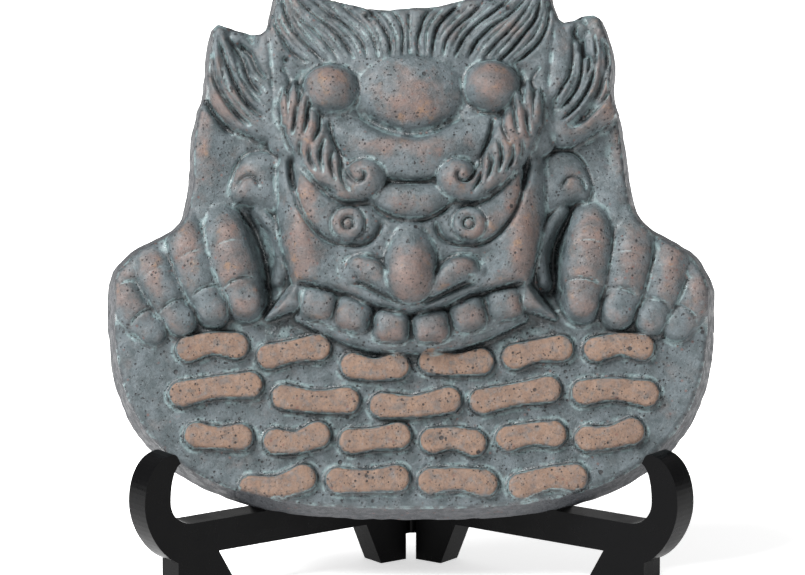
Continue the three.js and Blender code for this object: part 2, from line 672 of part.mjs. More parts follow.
const faces = [];
for (let base = 0; base < cornerOf.length; base += 3) {
  faces.push([0, 1, 2].map((place) => {
    const [column, row] = corners[cornerOf[base + place]];
    return row * side + column;
  }));
}

// The tile leans back on the stand.
const seatDepth = seatBehindSlot - slotRun * Math.cos(open);
let seatUp = 0;
function place([across, up, out]) {
  return [across, seatDepth + up * Math.sin(lean) - out * Math.cos(lean),
    seatUp + up * Math.cos(lean) + out * Math.sin(lean)];
}

function solidFrom(points, triangles) {
  const vertProperties = new Float32Array(points.flat());
  const triVerts = new Uint32Array(triangles.flat());
  return new wasm.Manifold(new wasm.Mesh({ numProp: 3, vertProperties, triVerts }));
}

// Solid block under the field of heights.
const blockDepth = 12;
const used = new Map();
const blockPoints = [];
for (const face of faces) {
  for (const index of face) {
    if (!used.has(index)) {
      used.set(index, used.size);
    }
  }
}
for (const index of used.keys()) {
  const across = origin[0] + (index % side) * cell;
  const up = origin[1] + Math.floor(index / side) * cell;
  blockPoints.push([across, up, height[index]]);
}
const topCount = blockPoints.length;
for (let index = 0; index < topCount; index += 1) {
  blockPoints.push([blockPoints[index][0], blockPoints[index][1], -blockDepth]);
}
const counterClockwise = (a, b, c) => {
  const [p, q, r] = [blockPoints[a], blockPoints[b], blockPoints[c]];
  return (q[0] - p[0]) * (r[1] - p[1]) - (q[1] - p[1]) * (r[0] - p[0]) > 0;
};
const blockFaces = [];
const edges = new Map();
for (const face of faces) {
  let [a, b, c] = face.map((index) => used.get(index));
  if (!counterClockwise(a, b, c)) {
    [b, c] = [c, b];
  }
  blockFaces.push([a, b, c], [a + topCount, c + topCount, b + topCount]);
  for (const [from, to] of [[a, b], [b, c], [c, a]]) {
    if (edges.has(`${to},${from}`)) {
      edges.delete(`${to},${from}`);
    } else {
      edges.set(`${from},${to}`, [from, to]);
    }
  }
}
for (const [from, to] of edges.values()) {
  blockFaces.push([from, from + topCount, to + topCount], [from, to + topCount, to]);
}

// Outline drawn up from the flat back with its draft.
const neckStart = boardShoulderHeight + 20 * unit;
const neckHeight = 30 * unit;
const prismTop = boardThickness * 4.5;
const draftAt = (point) => mix(wallDraft, headDraft, clamp((point[1] - neckStart) / neckHeight, 0, 1));
const rings = [
  outline.map(([across, up]) => [across, up, 0]),
  insetOutline(outline, draftAt).map(([across, up]) => [across, up, boardThickness]),
  insetOutline(outline, (point) => draftAt(point) * 1.25).map(([across, up]) => [across, up, prismTop]),
];
const ringCount = outline.length;
const prismPoints = rings.flat();
const prismFaces = [];
for (let ring = 0; ring < 2; ring += 1) {
  for (let index = 0; index < ringCount; index += 1) {
    const next = (index + 1) % ringCount;
    const low = ring * ringCount;
    const high = low + ringCount;
    prismFaces.push([low + index, low + next, high + next], [low + index, high + next, high + index]);
  }
}
for (const [ring, flip] of [[0, true], [2, false]]) {
  const flat = rings[ring].map(([across, up]) => new THREE.Vector2(across, up));
  for (const [a, b, c] of THREE.ShapeUtils.triangulateShape(flat, [])) {
    const base = ring * ringCount;
    prismFaces.push(flip ? [base + a, base + c, base + b] : [base + a, base + b, base + c]);
  }
}

// Scooped hollow in the back of the head.
const scoop = new THREE.SphereGeometry(1, 36, 24);
scoop.scale(backHollowHalfWidth, backHollowHalfHeight, backHollowDepth);
scoop.translate(0, backHollowHeight, 0);

function solidOf(geometry) {
  const positions = geometry.attributes.position;
  const points = [];
  const seen = new Map();
  const order = [];
  for (let index = 0; index < positions.count; index += 1) {
    const point = [positions.getX(index), positions.getY(index), positions.getZ(index)];
    const key = point.map((value) => Math.round(value * 1e4)).join(',');
    if (!seen.has(key)) {
      seen.set(key, points.length);
      points.push(point);
    }
    order.push(seen.get(key));
  }
  const source = geometry.index ? Array.from(geometry.index.array) : order.map((value, index) => index);
  const triangles = [];
  for (let index = 0; index < source.length; index += 3) {
    const [a, b, c] = [order[source[index]], order[source[index + 1]], order[source[index + 2]]];
    if (a !== b && b !== c && a !== c) {
      triangles.push([a, b, c]);
    }
  }
  return solidFrom(points, triangles);
}

function geometryOf(solid) {
  const mesh = solid.getMesh();
  const geometry = new THREE.BufferGeometry();
  const points = new Float32Array(mesh.numVert * 3);
  for (let index = 0; index < mesh.numVert; index += 1) {
    for (let axis = 0; axis < 3; axis += 1) {
      points[index * 3 + axis] = mesh.vertProperties[index * mesh.numProp + axis];
    }
  }
  geometry.setAttribute('position', new THREE.BufferAttribute(points, 3));
  geometry.setIndex(Array.from(mesh.triVerts));
  geometry.computeVertexNormals();
  return geometry;
}

const tileSolid = solidFrom(blockPoints, blockFaces)
  .intersect(solidFrom(prismPoints, prismFaces))
  .subtract(solidOf(scoop));

// The stand's plan, measured from its hinge: a run along the panel and an offset through it.
const planAt = (run, offset, hand) => [
  hand * (run * Math.sin(open) + offset * Math.cos(open)),
  offset * Math.sin(open) - run * Math.cos(open),
];

// The tile's back edge is set down on the arms with the clearance between them.
let contactUp = 1e9;
outline.forEach((point, index) => {
  const next = outline[(index + 1) % outline.length];
  for (let share = 0; share < 1; share += 0.05) {
    const across = mix(point[0], next[0], share);
    const up = mix(point[1], next[1], share);
    const depth = seatDepth + up * Math.sin(lean);
    const offset = Math.abs(across) * Math.cos(open) + depth * Math.sin(open);
    if (up < boardShoulderHeight && Math.abs(offset) <= panelThickness / 2 + clearance) {
      contactUp = Math.min(contactUp, up);
    }
  }
});
seatUp = armTop + clearance - contactUp * Math.cos(lean);

// The rest bar follows the tile's back plane with the clearance between them.
const restRunAt = (level) => {
  const backDepth = seatDepth + (level - seatUp) * Math.tan(lean) + clearance / Math.cos(lean);
  return -(backDepth + (panelThickness / 2) * Math.sin(open)) / Math.cos(open);
};

// The panel ends where the rest bar has narrowed to its top width.
const restTopDepth = -(panelStartRun + restTopWidth) * Math.cos(open) - (panelThickness / 2) * Math.sin(open);
const restHeight = seatUp + (restTopDepth - clearance / Math.cos(lean) - seatDepth) / Math.tan(lean);
const knuckleLevels = [lowKnuckleLevel, restHeight - restBarWidth / 2 - knuckleHeight * 2];

// Side view of one half: foot, arm and hook in front, and the rest bar that rises to the hinge post.
function standProfile() {
  const hookRun = slotRun + hookThickness;
  const waist = armTop + slotRound;
  const shape = new THREE.Shape();
  shape.moveTo(panelStartRun, 0);
  shape.lineTo(backFootRun, 0);
  shape.lineTo(backFootTopRun, armUnderside);
  shape.lineTo(footInnerRun + footTaper, armUnderside);
  shape.lineTo(footInnerRun, 0);
  shape.lineTo(footOuterRun, 0);
  shape.lineTo(footOuterRun, armUnderside - 2);
  shape.bezierCurveTo(footOuterRun + 7, armUnderside + 1, hookRun, armUnderside + 11, hookRun, waist);
  shape.bezierCurveTo(hookRun, waist + slotRound, hookRun - 4, hookHeight - 1, hookRun - 11, hookHeight);
  shape.bezierCurveTo(hookRun - 14, hookHeight + 0.6, slotRun - 3, hookHeight - 1,
    slotRun - hookTipReach, hookHeight - hookTipDrop);
  shape.bezierCurveTo(slotRun - hookTipReach / 2, hookHeight - hookTipReach, slotRun, hookHeight - slotRound,
    slotRun, waist);
  shape.bezierCurveTo(slotRun, armTop + 4, slotRun - 4, armTop, slotRun - slotRound - 1, armTop);
  shape.lineTo(restRunAt(armTop), armTop);
  shape.lineTo(restRunAt(restHeight), restHeight);
  shape.lineTo(panelStartRun, restHeight);
  shape.closePath();
  return shape;
}

// The opening between the rest bar and the hinge post.
function windowProfile() {
  const foot = armTop + 1;
  const postRun = panelStartRun + postWidth;
  const barRunAt = (level) => restRunAt(level) - restBarWidth * 1.15;
  const slope = (barRunAt(foot) - barRunAt(foot + 1));
  const top = foot + (barRunAt(foot) - postRun - 3) / slope;
  return new THREE.Path([[postRun, foot], [postRun, top], [barRunAt(top), top], [barRunAt(foot), foot]]
    .map(([run, level]) => new THREE.Vector2(run, level)));
}

function standHalf(hand) {
  const shape = standProfile();
  shape.holes.push(windowProfile());
  const panel = new THREE.ExtrudeGeometry(shape, { depth: panelThickness, bevelEnabled: false, curveSegments: 14 });
  panel.translate(0, 0, -panelThickness / 2);
  let solid = solidOf(panel);
  const first = hand < 0;
  const webRun = panelStartRun + 2;
  for (const low of knuckleLevels) {
    const middleLevel = low + knuckleHeight;
    const [from, to] = first ? [low, middleLevel] : [middleLevel + clearance, middleLevel + knuckleHeight];
    const web = new THREE.BoxGeometry(webRun, to - from, knuckleRadius * 1.5);
    web.translate(webRun / 2, (from + to) / 2, 0);
    const barrel = new THREE.CylinderGeometry(knuckleRadius, knuckleRadius, to - from, 24);
    barrel.translate(0, (from + to) / 2, 0);
    solid = solid.add(solidOf(web)).add(solidOf(barrel));
    if (first) {
      const peg = new THREE.CylinderGeometry(pegRadius, pegRadius, knuckleHeight, 20);
      peg.translate(0, middleLevel + knuckleHeight / 2 - 0.5, 0);
      solid = solid.add(solidOf(peg));
    } else {
      const bore = new THREE.CylinderGeometry(pegRadius + clearance, pegRadius + clearance, to - from + 4, 20);
      bore.translate(0, (from + to) / 2, 0);
      solid = solid.subtract(solidOf(bore));
    }
  }
  const geometry = geometryOf(solid);
  const positions = geometry.attributes.position;
  for (let index = 0; index < positions.count; index += 1) {
    const [across, depth] = planAt(positions.getX(index), positions.getZ(index), hand);
    positions.setXYZ(index, across, depth, positions.getY(index));
  }
  if (hand > 0) {
    const order = geometry.index.array;
    for (let index = 0; index < order.length; index += 3) {
      [order[index], order[index + 1]] = [order[index + 1], order[index]];
    }
  }
  geometry.computeVertexNormals();
  return geometry;
}

const tileGeometry = geometryOf(tileSolid);
const tilePositions = tileGeometry.attributes.position;
for (let index = 0; index < tilePositions.count; index += 1) {
  const point = [tilePositions.getX(index), tilePositions.getY(index), tilePositions.getZ(index)];
  tilePositions.setXYZ(index, ...place(point));
}
tileGeometry.computeVertexNormals();

const pieces = [
  ['demon_face_tile', tileGeometry, 0x77807c, 0.62, 0],
  ['stand_half_left', standHalf(-1), 0x141416, 0.38, 0],
  ['stand_half_right', standHalf(1), 0x141416, 0.38, 0],
];
const all = new THREE.Box3();
for (const [, geometry] of pieces) {
  geometry.computeBoundingBox();
  all.union(geometry.boundingBox);
}
const middle = all.getCenter(new THREE.Vector3());

const group = new THREE.Group();
group.name = 'roof_end_tile_on_stand';
for (const [name, geometry, color, roughness, metalness] of pieces) {
  geometry.translate(-middle.x, -middle.y, -all.min.z);
  const mesh = new THREE.Mesh(geometry, new THREE.MeshStandardMaterial({ color, roughness, metalness }));
  mesh.name = name;
  mesh.material.name = `${name}_material`;
  group.add(mesh);
}

export default group;
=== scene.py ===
import math

import bpy
import numpy as np
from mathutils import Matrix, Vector
from mathutils.geometry import tessellate_polygon


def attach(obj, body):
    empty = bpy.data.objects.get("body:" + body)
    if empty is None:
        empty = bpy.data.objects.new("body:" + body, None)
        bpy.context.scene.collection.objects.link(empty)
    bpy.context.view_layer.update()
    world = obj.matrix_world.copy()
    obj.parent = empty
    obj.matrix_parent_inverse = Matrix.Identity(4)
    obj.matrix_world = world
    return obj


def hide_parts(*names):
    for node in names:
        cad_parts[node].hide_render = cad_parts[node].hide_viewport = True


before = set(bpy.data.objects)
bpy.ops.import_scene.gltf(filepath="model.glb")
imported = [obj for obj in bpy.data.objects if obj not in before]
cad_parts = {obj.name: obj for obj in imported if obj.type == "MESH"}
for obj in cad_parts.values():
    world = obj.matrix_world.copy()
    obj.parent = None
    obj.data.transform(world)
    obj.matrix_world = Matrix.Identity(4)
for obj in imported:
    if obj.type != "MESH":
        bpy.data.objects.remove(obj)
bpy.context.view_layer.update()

# CAMERA, FLOOR AND LIGHT
# The ornament is seen straight on, a little from above, from far enough away that its sides hardly
# draw together. It stands on a plain white sheet in a soft room with one larger light at the upper left.
PHOTO_WIDTH_M = 0.2898
CAMERA_DISTANCE = 2.4
CAMERA_ELEVATION = math.radians(12)
AIM = Vector((-0.0031, 0.0, 0.1065))
SENSOR_WIDTH_MM = 36.0
SHEET_WHITE = (0.88, 0.88, 0.88, 1)
SHEET_GLOW = 0.7
SHEET_ROUGHNESS = 0.7
SHEET_LEFT_RIGHT, SHEET_FRONT, SHEET_BACK = 6, -4, 12
ROOM_WHITE = (1.0, 1.0, 1.0, 1)
ROOM_STRENGTH = 0.45
KEY_PLACE = (-0.9, -1.0, 1.3)
KEY_SIZE = (0.5, 0.4)
KEY_POWER = 16.0
WINDOW_STRENGTH = 6.6
WINDOW_ANGLE = math.radians(34)
WINDOW_WAY = (0.7, 0.5, -0.95)

camera_data = bpy.data.cameras.new("camera")
camera_data.sensor_width = SENSOR_WIDTH_MM
camera_data.lens = SENSOR_WIDTH_MM * CAMERA_DISTANCE / PHOTO_WIDTH_M
camera = bpy.data.objects.new("camera", camera_data)
bpy.context.scene.collection.objects.link(camera)
toward_camera = Vector((0.0, -math.cos(CAMERA_ELEVATION), math.sin(CAMERA_ELEVATION)))
camera.location = AIM + CAMERA_DISTANCE * toward_camera
camera.rotation_euler = (AIM - camera.location).to_track_quat("-Z", "Y").to_euler()
bpy.context.scene.camera = camera

floor_mesh = bpy.data.meshes.new("floor")
sheet_corners = [(-SHEET_LEFT_RIGHT, SHEET_FRONT, 0), (SHEET_LEFT_RIGHT, SHEET_FRONT, 0),
                 (SHEET_LEFT_RIGHT, SHEET_BACK, 0), (-SHEET_LEFT_RIGHT, SHEET_BACK, 0)]
floor_mesh.from_pydata(sheet_corners, [], [(0, 1, 2, 3)])
floor = bpy.data.objects.new("floor", floor_mesh)
bpy.context.scene.collection.objects.link(floor)
floor_material = bpy.data.materials.new("white_sheet")
floor_material.use_nodes = True
floor_skin = floor_material.node_tree.nodes["Principled BSDF"]
floor_skin.inputs["Base Color"].default_value = SHEET_WHITE
floor_skin.inputs["Roughness"].default_value = SHEET_ROUGHNESS
floor_skin.inputs["Emission Color"].default_value = SHEET_WHITE
floor_skin.inputs["Emission Strength"].default_value = SHEET_GLOW
floor_mesh.materials.append(floor_material)

world = bpy.data.worlds.new("soft_room")
bpy.context.scene.world = world
world.use_nodes = True
world.node_tree.nodes["Background"].inputs["Color"].default_value = ROOM_WHITE
world.node_tree.nodes["Background"].inputs["Strength"].default_value = ROOM_STRENGTH

key_data = bpy.data.lights.new("key_upper_left", "AREA")
key_data.shape = "RECTANGLE"
key_data.size, key_data.size_y = KEY_SIZE
key_data.energy = KEY_POWER
key = bpy.data.objects.new("key_upper_left", key_data)
bpy.context.scene.collection.objects.link(key)
key.location = KEY_PLACE
key.rotation_euler = (AIM - Vector(KEY_PLACE)).to_track_quat("-Z", "Y").to_euler()

window_data = bpy.data.lights.new("window_wall", "SUN")
window_data.energy = WINDOW_STRENGTH
window_data.angle = WINDOW_ANGLE
window_light = bpy.data.objects.new("window_wall", window_data)
bpy.context.scene.collection.objects.link(window_light)
window_light.rotation_euler = Vector(WINDOW_WAY).to_track_quat("-Z", "Y").to_euler()
bpy.context.scene.view_settings.view_transform = "Standard"


class Finish:
    """A surface finish laid up from patterns."""

    def __init__(self, name):
        self.material = bpy.data.materials.new(name)
        self.material.use_nodes = True
        self.tree = self.material.node_tree
        self.skin = self.tree.nodes["Principled BSDF"]
        self.place = self.tree.nodes.new("ShaderNodeTexCoord").outputs["Object"]

    def put(self, socket, value):
        """A socket takes either a fixed value or another node's output."""
        if isinstance(value, bpy.types.NodeSocket):
            self.tree.links.new(value, socket)
        else:
            socket.default_value = value

    def moved(self, shift):
        """The object's own coordinates, moved so that patterns of one kind don't coincide."""
        node = self.tree.nodes.new("ShaderNodeMapping")
        node.inputs["Location"].default_value = (shift, shift * 0.7, -shift)
        self.put(node.inputs["Vector"], self.place)
        return node.outputs["Vector"]

    def noise(self, size_mm, detail=3.0, roughness=0.5, shift=0.0):
        node = self.tree.nodes.new("ShaderNodeTexNoise")
        node.inputs["Scale"].default_value = 1000 / size_mm
        node.inputs["Detail"].default_value = detail
        node.inputs["Roughness"].default_value = roughness
        self.put(node.inputs["Vector"], self.moved(shift))
        return node.outputs["Fac"]

    def cells(self, size_mm, shift=0.0):
        node = self.tree.nodes.new("ShaderNodeTexVoronoi")
        node.inputs["Scale"].default_value = 1000 / size_mm
        self.put(node.inputs["Vector"], self.moved(shift))
        return node.outputs["Distance"]

    def attribute(self, name):
        node = self.tree.nodes.new("ShaderNodeAttribute")
        node.attribute_name = name
        return node.outputs["Fac"]

    def combine(self, operation, a, b):
        node = self.tree.nodes.new("ShaderNodeMath")
        node.operation = operation
        self.put(node.inputs[0], a)
        self.put(node.inputs[1], b)
        return node.outputs[0]

    def ramp(self, value, low, high, out_low=0.0, out_high=1.0):
        node = self.tree.nodes.new("ShaderNodeMapRange")
        node.interpolation_type = "SMOOTHSTEP"
        self.put(node.inputs["Value"], value)
        for end, number in (("From Min", low), ("From Max", high), ("To Min", out_low), ("To Max", out_high)):
            node.inputs[end].default_value = number
        return node.outputs["Result"]

    def blend(self, share, a, b):
        node = self.tree.nodes.new("ShaderNodeMix")
        node.data_type = "RGBA"
        self.put(node.inputs["Factor"], share)
        self.put(node.inputs["A"], a)
        self.put(node.inputs["B"], b)
        return node.outputs["Result"]

    def bump(self, height, distance_mm, strength=1.0, normal=None):
        node = self.tree.nodes.new("ShaderNodeBump")
        node.inputs["Distance"].default_value = distance_mm / 1000
        node.inputs["Strength"].default_value = strength
        self.put(node.inputs["Height"], height)
        if normal is not None:
            self.put(node.inputs["Normal"], normal)
        return node.outputs["Normal"]


# THE TILE
# One press-moulded tile of coarse fired clay, smoked grey-green and rubbed back to brown on its
# high places. A face over a rounded board, both hands over the board's shoulders, and rows of
# raised strokes on it. Its back is flat with a hollow scooped out behind the head.
LEAN = math.radians(18)
BOARD_HALF_WIDTH = 110.0
BOARD_SHOULDER = 80.0
BOARD_SQUARENESS = 2.8
BOARD_THICKNESS = 15.0
WALL_DRAFT = 3.4
HEAD_DRAFT = 2.4
HEAD_DRAFT_FROM = 100
HEAD_DRAFT_RUN = 30
OUTLINE_LEAST_GAP = 2.2
BOARD_SIDES = 44
STROKE_RISE = 3.4
STROKE_HALF_WIDTH = 5.0
CLAY_STEP = 0.66
HANDS = (-1, 1)
chance = np.random.default_rng(41)
tile_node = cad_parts["demon_face_tile"]
lowest = min((vertex.co for vertex in tile_node.data.vertices), key=lambda co: co.z)
SEAT_DEPTH, SEAT_UP = lowest.y * 1000, lowest.z * 1000


def smooth_line(points, closed=False, steps=6):
    """A smooth line through a few points, with whatever values the points carry."""
    p = np.array(points, float)
    n = len(p)
    line = []
    for span in range(n if closed else n - 1):
        if closed:
            a, b, c, d = p[(span - 1) % n], p[span], p[(span + 1) % n], p[(span + 2) % n]
        else:
            a, b, c, d = p[max(span - 1, 0)], p[span], p[span + 1], p[min(span + 2, n - 1)]
        for step in range(steps):
            t = step / steps
            line.append(0.5 * (2 * b + (c - a) * t + (2 * a - 5 * b + 4 * c - d) * t * t
                               + (3 * b - a - 3 * c + d) * t ** 3))
    if not closed:
        line.append(p[-1])
    return np.array(line)


def mirrored(points, hand, centre=0.0):
    """Points given for the right side of the face, carried to either side of its centre."""
    return [(centre + hand * point[0], *point[1:]) for point in points]


def both_halves(right):
    """A line from the middle to the right, continued by its mirror image on the left."""
    return mirrored(right[:0:-1] if right[0][0] == 0 else right[::-1], -1) + list(right)


def tile_outline():
    """The board's squared-off lower half, then the shoulders, ears, tufts and hair over the top."""
    power = 2 / BOARD_SQUARENESS
    turn = np.pi * (1 + np.arange(BOARD_SIDES) / BOARD_SIDES)
    board = np.column_stack([
        BOARD_HALF_WIDTH * np.sign(np.cos(turn)) * np.abs(np.cos(turn)) ** power,
        BOARD_SHOULDER * (1 + np.sign(np.sin(turn)) * np.abs(np.sin(turn)) ** power)])
    right = [(110, 83), (108, 88.5), (103.5, 95.8), (95.5, 101.2), (87, 106), (82.5, 111), (79.8, 121),
             (78, 134), (76.5, 144.5), (74, 153), (74.4, 166), (71.5, 177), (68.6, 183.2), (62, 183.4),
             (57, 181), (53.8, 182.4), (51.6, 189.5), (47.8, 196.2), (40, 195.6), (28, 191.5), (17.8, 189),
             (8, 186.8)]
    left = [(110, 84), (108, 90.2), (101.7, 97.2), (93.5, 101.9), (86.6, 105.3), (83.2, 110), (80.9, 122),
            (80.2, 137), (78.2, 147.6), (76.2, 154), (74.9, 167), (73.4, 176), (70.8, 180.2), (62.5, 178.2),
            (56.3, 176.4), (53.2, 178), (51, 188), (46.2, 195.6), (38, 194), (28.7, 189.4), (18.5, 186.4),
            (9, 185.3)]
    crown = smooth_line(right + mirrored(left[::-1], -1), steps=3)
    kept = []
    for point in np.vstack([board, crown]):
        if not kept or np.hypot(*(point - kept[-1])) > OUTLINE_LEAST_GAP:
            kept.append(point)
    return np.array(kept)


def inset(line, amount):
    """A closed line drawn inwards, its corners eased over a few neighbouring points."""
    along = np.roll(line, -1, axis=0) - np.roll(line, 1, axis=0)
    along /= np.linalg.norm(along, axis=1, keepdims=True)
    inward = np.column_stack([-along[:, 1], along[:, 0]])
    inward = sum(np.roll(inward, shift, axis=0) for shift in range(-2, 3))
    inward /= np.linalg.norm(inward, axis=1, keepdims=True)
    return line + inward * amount[:, None]


OUTLINE = tile_outline()
beside_head = np.clip((OUTLINE[:, 1] - HEAD_DRAFT_FROM) / HEAD_DRAFT_RUN, 0, 1)
FRONT_EDGE = inset(OUTLINE, WALL_DRAFT + (HEAD_DRAFT - WALL_DRAFT) * beside_head)


def nearest_on(line, u, v):
    """Distance to a closed line, positive inside it, and the place along it in points."""
    best = np.full(u.shape, 1e9)
    place = np.zeros(u.shape)
    odd = np.zeros(u.shape, bool)
    for index, ((ax, ay), (bx, by)) in enumerate(zip(line, np.roll(line, -1, axis=0))):
        run, rise = bx - ax, by - ay
        share = np.clip(((u - ax) * run + (v - ay) * rise) / (run * run + rise * rise), 0, 1)
        away = np.hypot(u - ax - share * run, v - ay - share * rise)
        place = np.where(away < best, index + share, place)
        best = np.minimum(best, away)
        if rise:
            odd ^= ((ay > v) != (by > v)) & (u < ax + (v - ay) * run / rise)
    return np.where(odd, best, -best), place


# the clay as a field of heights over its flat back: U across, V up, W out, in mm
FIELD_HALF_WIDTH, FIELD_FOOT, FIELD_TOP = 112, -2, 199
columns = np.arange(-FIELD_HALF_WIDTH, FIELD_HALF_WIDTH + 0.001, CLAY_STEP)
rows = np.arange(FIELD_FOOT, FIELD_TOP + 0.001, CLAY_STEP)
U, V = np.meshgrid(columns, rows)
W = np.full(U.shape, BOARD_THICKNESS)


def window(line, reach):
    """The part of the field that a tool can touch."""
    low, high = np.min(line, axis=0) - reach, np.max(line, axis=0) + reach
    up_and_down = slice(*np.searchsorted(rows, (low[1], high[1])))
    across = slice(*np.searchsorted(columns, (low[0], high[0])))
    return up_and_down, across


def soft_max(a, b, softness):
    """The higher of two surfaces, blended where they meet."""
    share = np.clip(0.5 + 0.5 * (a - b) / softness, 0, 1)
    return b * (1 - share) + a * share + softness * share * (1 - share)


def along(line, part):
    """Distance to an open line, the share of its length there, and the values it carries there."""
    u, v = U[part], V[part]
    best, share_there, start = np.full(u.shape, 1e9), np.zeros(u.shape), 0.0
    values = np.zeros((line.shape[1] - 2, *u.shape))
    for a, b in zip(line[:-1], line[1:]):
        run, rise = b[0] - a[0], b[1] - a[1]
        length = math.hypot(run, rise)
        if length < 1e-9:
            continue
        share = np.clip(((u - a[0]) * run + (v - a[1]) * rise) / length ** 2, 0, 1)
        away = np.hypot(u - a[0] - share * run, v - a[1] - share * rise)
        nearer = away < best
        share_there = np.where(nearer, start + share * length, share_there)
        for axis in range(len(values)):
            values[axis] = np.where(nearer, a[axis + 2] + (b[axis + 2] - a[axis + 2]) * share, values[axis])
        best = np.minimum(best, away)
        start += length
    return best, share_there / start, values


def spread_from(centre, radii, turn, part, square=2):
    """How far out from the middle of a turned oval, 1 on its edge."""
    c, s = math.cos(math.radians(turn)), math.sin(math.radians(turn))
    du, dv = U[part] - centre[0], V[part] - centre[1]
    lengthwise, crosswise = (du * c + dv * s) / radii[0], (-du * s + dv * c) / radii[1]
    return np.abs(lengthwise) ** square + np.abs(crosswise) ** square


SIDE_FALL = 3


def dome(centre, radii, foot, rise, soft=1.5, turn=0.0, power=0.5, square=2):
    """A rounded lump standing on a given level; a higher squareness makes it a pad."""
    part = window([centre], max(radii) * 1.4)
    q = spread_from(centre, radii, turn, part, square)
    fall = SIDE_FALL * min(radii) * (q ** (1 / square) - 1)
    top = np.where(q > 1, foot - fall, foot + rise * np.clip(1 - q, 0, 1) ** power)
    W[part] = soft_max(W[part], top, soft)


def swell(centre, radii, rise, turn=0.0):
    """A soft swelling, or a hollow where the rise is negative."""
    part = window([centre], max(radii) * 2.4)
    W[part] += rise * np.exp(-spread_from(centre, radii, turn, part))


def slab(points, foot, rise, edge, soft=1.0):
    """A mass inside a closed outline, with its edge rounded over."""
    line = smooth_line(points, closed=True)
    part = window(line, 3)
    inner, _ = nearest_on(line, U[part], V[part])
    round_over = np.sqrt(1 - (1 - np.clip(inner / edge, 0, 1)) ** 2)
    top = np.where(inner < 0, foot + inner * SIDE_FALL, foot + rise * round_over)
    W[part] = soft_max(W[part], top, soft)


PRESS_FALL = 2.7


def press(points, level, soft=1.2):
    """Clay inside a closed outline pressed down to a level."""
    line = smooth_line(points, closed=True)
    part = window(line, 4)
    inner, _ = nearest_on(line, U[part], V[part])
    W[part] = -soft_max(-W[part], -(level + PRESS_FALL * np.maximum(-inner, 0)), soft)


def roll(points, drop=5.0, soft=1.0):
    """A roll of clay along a line of points that give across, up, half width and top level."""
    line = smooth_line(points)
    reach = np.max(line[:, 2]) * 1.6 + 1
    part = window(line[:, :2], reach)
    away, _, (half, top) = along(line, part)
    q = away / half
    lift = np.where(q > 1, -(away - half) * SIDE_FALL, drop * np.sqrt(np.clip(1 - q * q, 0, 1)))
    W[part] = np.where(away > reach, W[part], soft_max(W[part], top - drop + lift, soft))


def groove(points, half, depth, ends=0.15, closed=False):
    """A groove pressed along a line, running out at both ends."""
    line = smooth_line(points, closed)
    if closed:
        line = np.vstack([line, line[:1]])
    part = window(line, half * 3)
    away, share, _ = along(line, part)
    fade = 1.0 if closed else np.clip(np.minimum(share, 1 - share) / ends, 0, 1) ** 0.7
    W[part] -= depth * fade * np.exp(-(away / half) ** 2)


STRAND_SWAY = 0.35
STRAND_UNEVEN = 0.2


def strands(guides, count, half, depth, ends=0.2, first=0.0, last=1.0):
    """Grooves side by side, fanned out between guide lines, no two quite alike."""
    guides = np.array(guides, float)
    for index, spot in enumerate(np.linspace(first, last, count) * (len(guides) - 1)):
        start = min(int(spot), len(guides) - 2)
        line = guides[start] + (guides[start + 1] - guides[start]) * (spot - start)
        line[1:-1, 0] += STRAND_SWAY * np.sin(index * 2.7 + np.arange(len(line) - 2) * 1.9)
        groove(line, half, depth * (1 + STRAND_UNEVEN * math.sin(index * 2.3)), ends)


# ground behind the head, a little prouder than the board, lumpy at the neck
NECK_RISE, NECK_FROM, NECK_RUN = 2.2, 76, 25
W += NECK_RISE * np.clip((V - NECK_FROM) / NECK_RUN, 0, 1)
swell((-73.5, 132), (6, 12), 1.6)
swell((72, 117.5), (5, 9), 1.2)
swell((71.5, 130), (3.5, 8), -1.6, 6)

# hair: two peaks that sweep down to the brow, the sides of the head, and a tuft over each ear
for hand in HANDS:
    roll(mirrored([(42, 191, 8, 21), (40.5, 181, 14, 24), (34, 171.5, 15, 26), (26, 162, 13, 27)], hand),
         8, 5)
    roll(mirrored([(22.5, 180, 9, 22), (14, 173, 11, 26), (12, 160, 10, 28)], hand), 8, 5)
    roll(mirrored([(48, 179.5, 6, 21.5), (49, 166, 9, 24), (46.5, 151, 9.5, 25.5), (45, 135, 6.5, 26)], hand),
         7, 4)
roll([(-1, 178.5, 8, 22), (-1, 164, 9, 27)], 7, 5)
roll([(-69, 174.5, 3.5, 20), (-67.5, 162, 8, 23.5), (-62, 150.5, 9.5, 25), (-52, 141, 6.5, 24.5)], 7, 3)
roll([(-63, 171, 4, 19.5), (-56.5, 162, 7, 22), (-50.5, 150.5, 6, 24)], 6, 3.5)
roll([(66.5, 177.5, 4, 20), (69, 164.5, 8.5, 24), (67, 150.5, 9, 25), (55, 139, 6.5, 25)], 7, 3)
roll([(58, 174.5, 6, 20), (58, 162, 9, 23.5), (53, 150.5, 8, 25)], 6, 4)

# face with a steep edge all round, fuller in the middle
FACE_RIGHT = [(0, 162), (39.5, 154), (47, 143.5), (49, 128), (49, 112), (48, 99), (45.5, 90.5), (43, 84),
              (40, 77), (25, 68), (0, 64)]
slab(FACE_RIGHT + mirrored(FACE_RIGHT[-2:0:-1], -1), 15.5, 12.5, 11, 2.5)
dome((0, 113), (46, 70), 22, 8.5, soft=3, power=0.6)

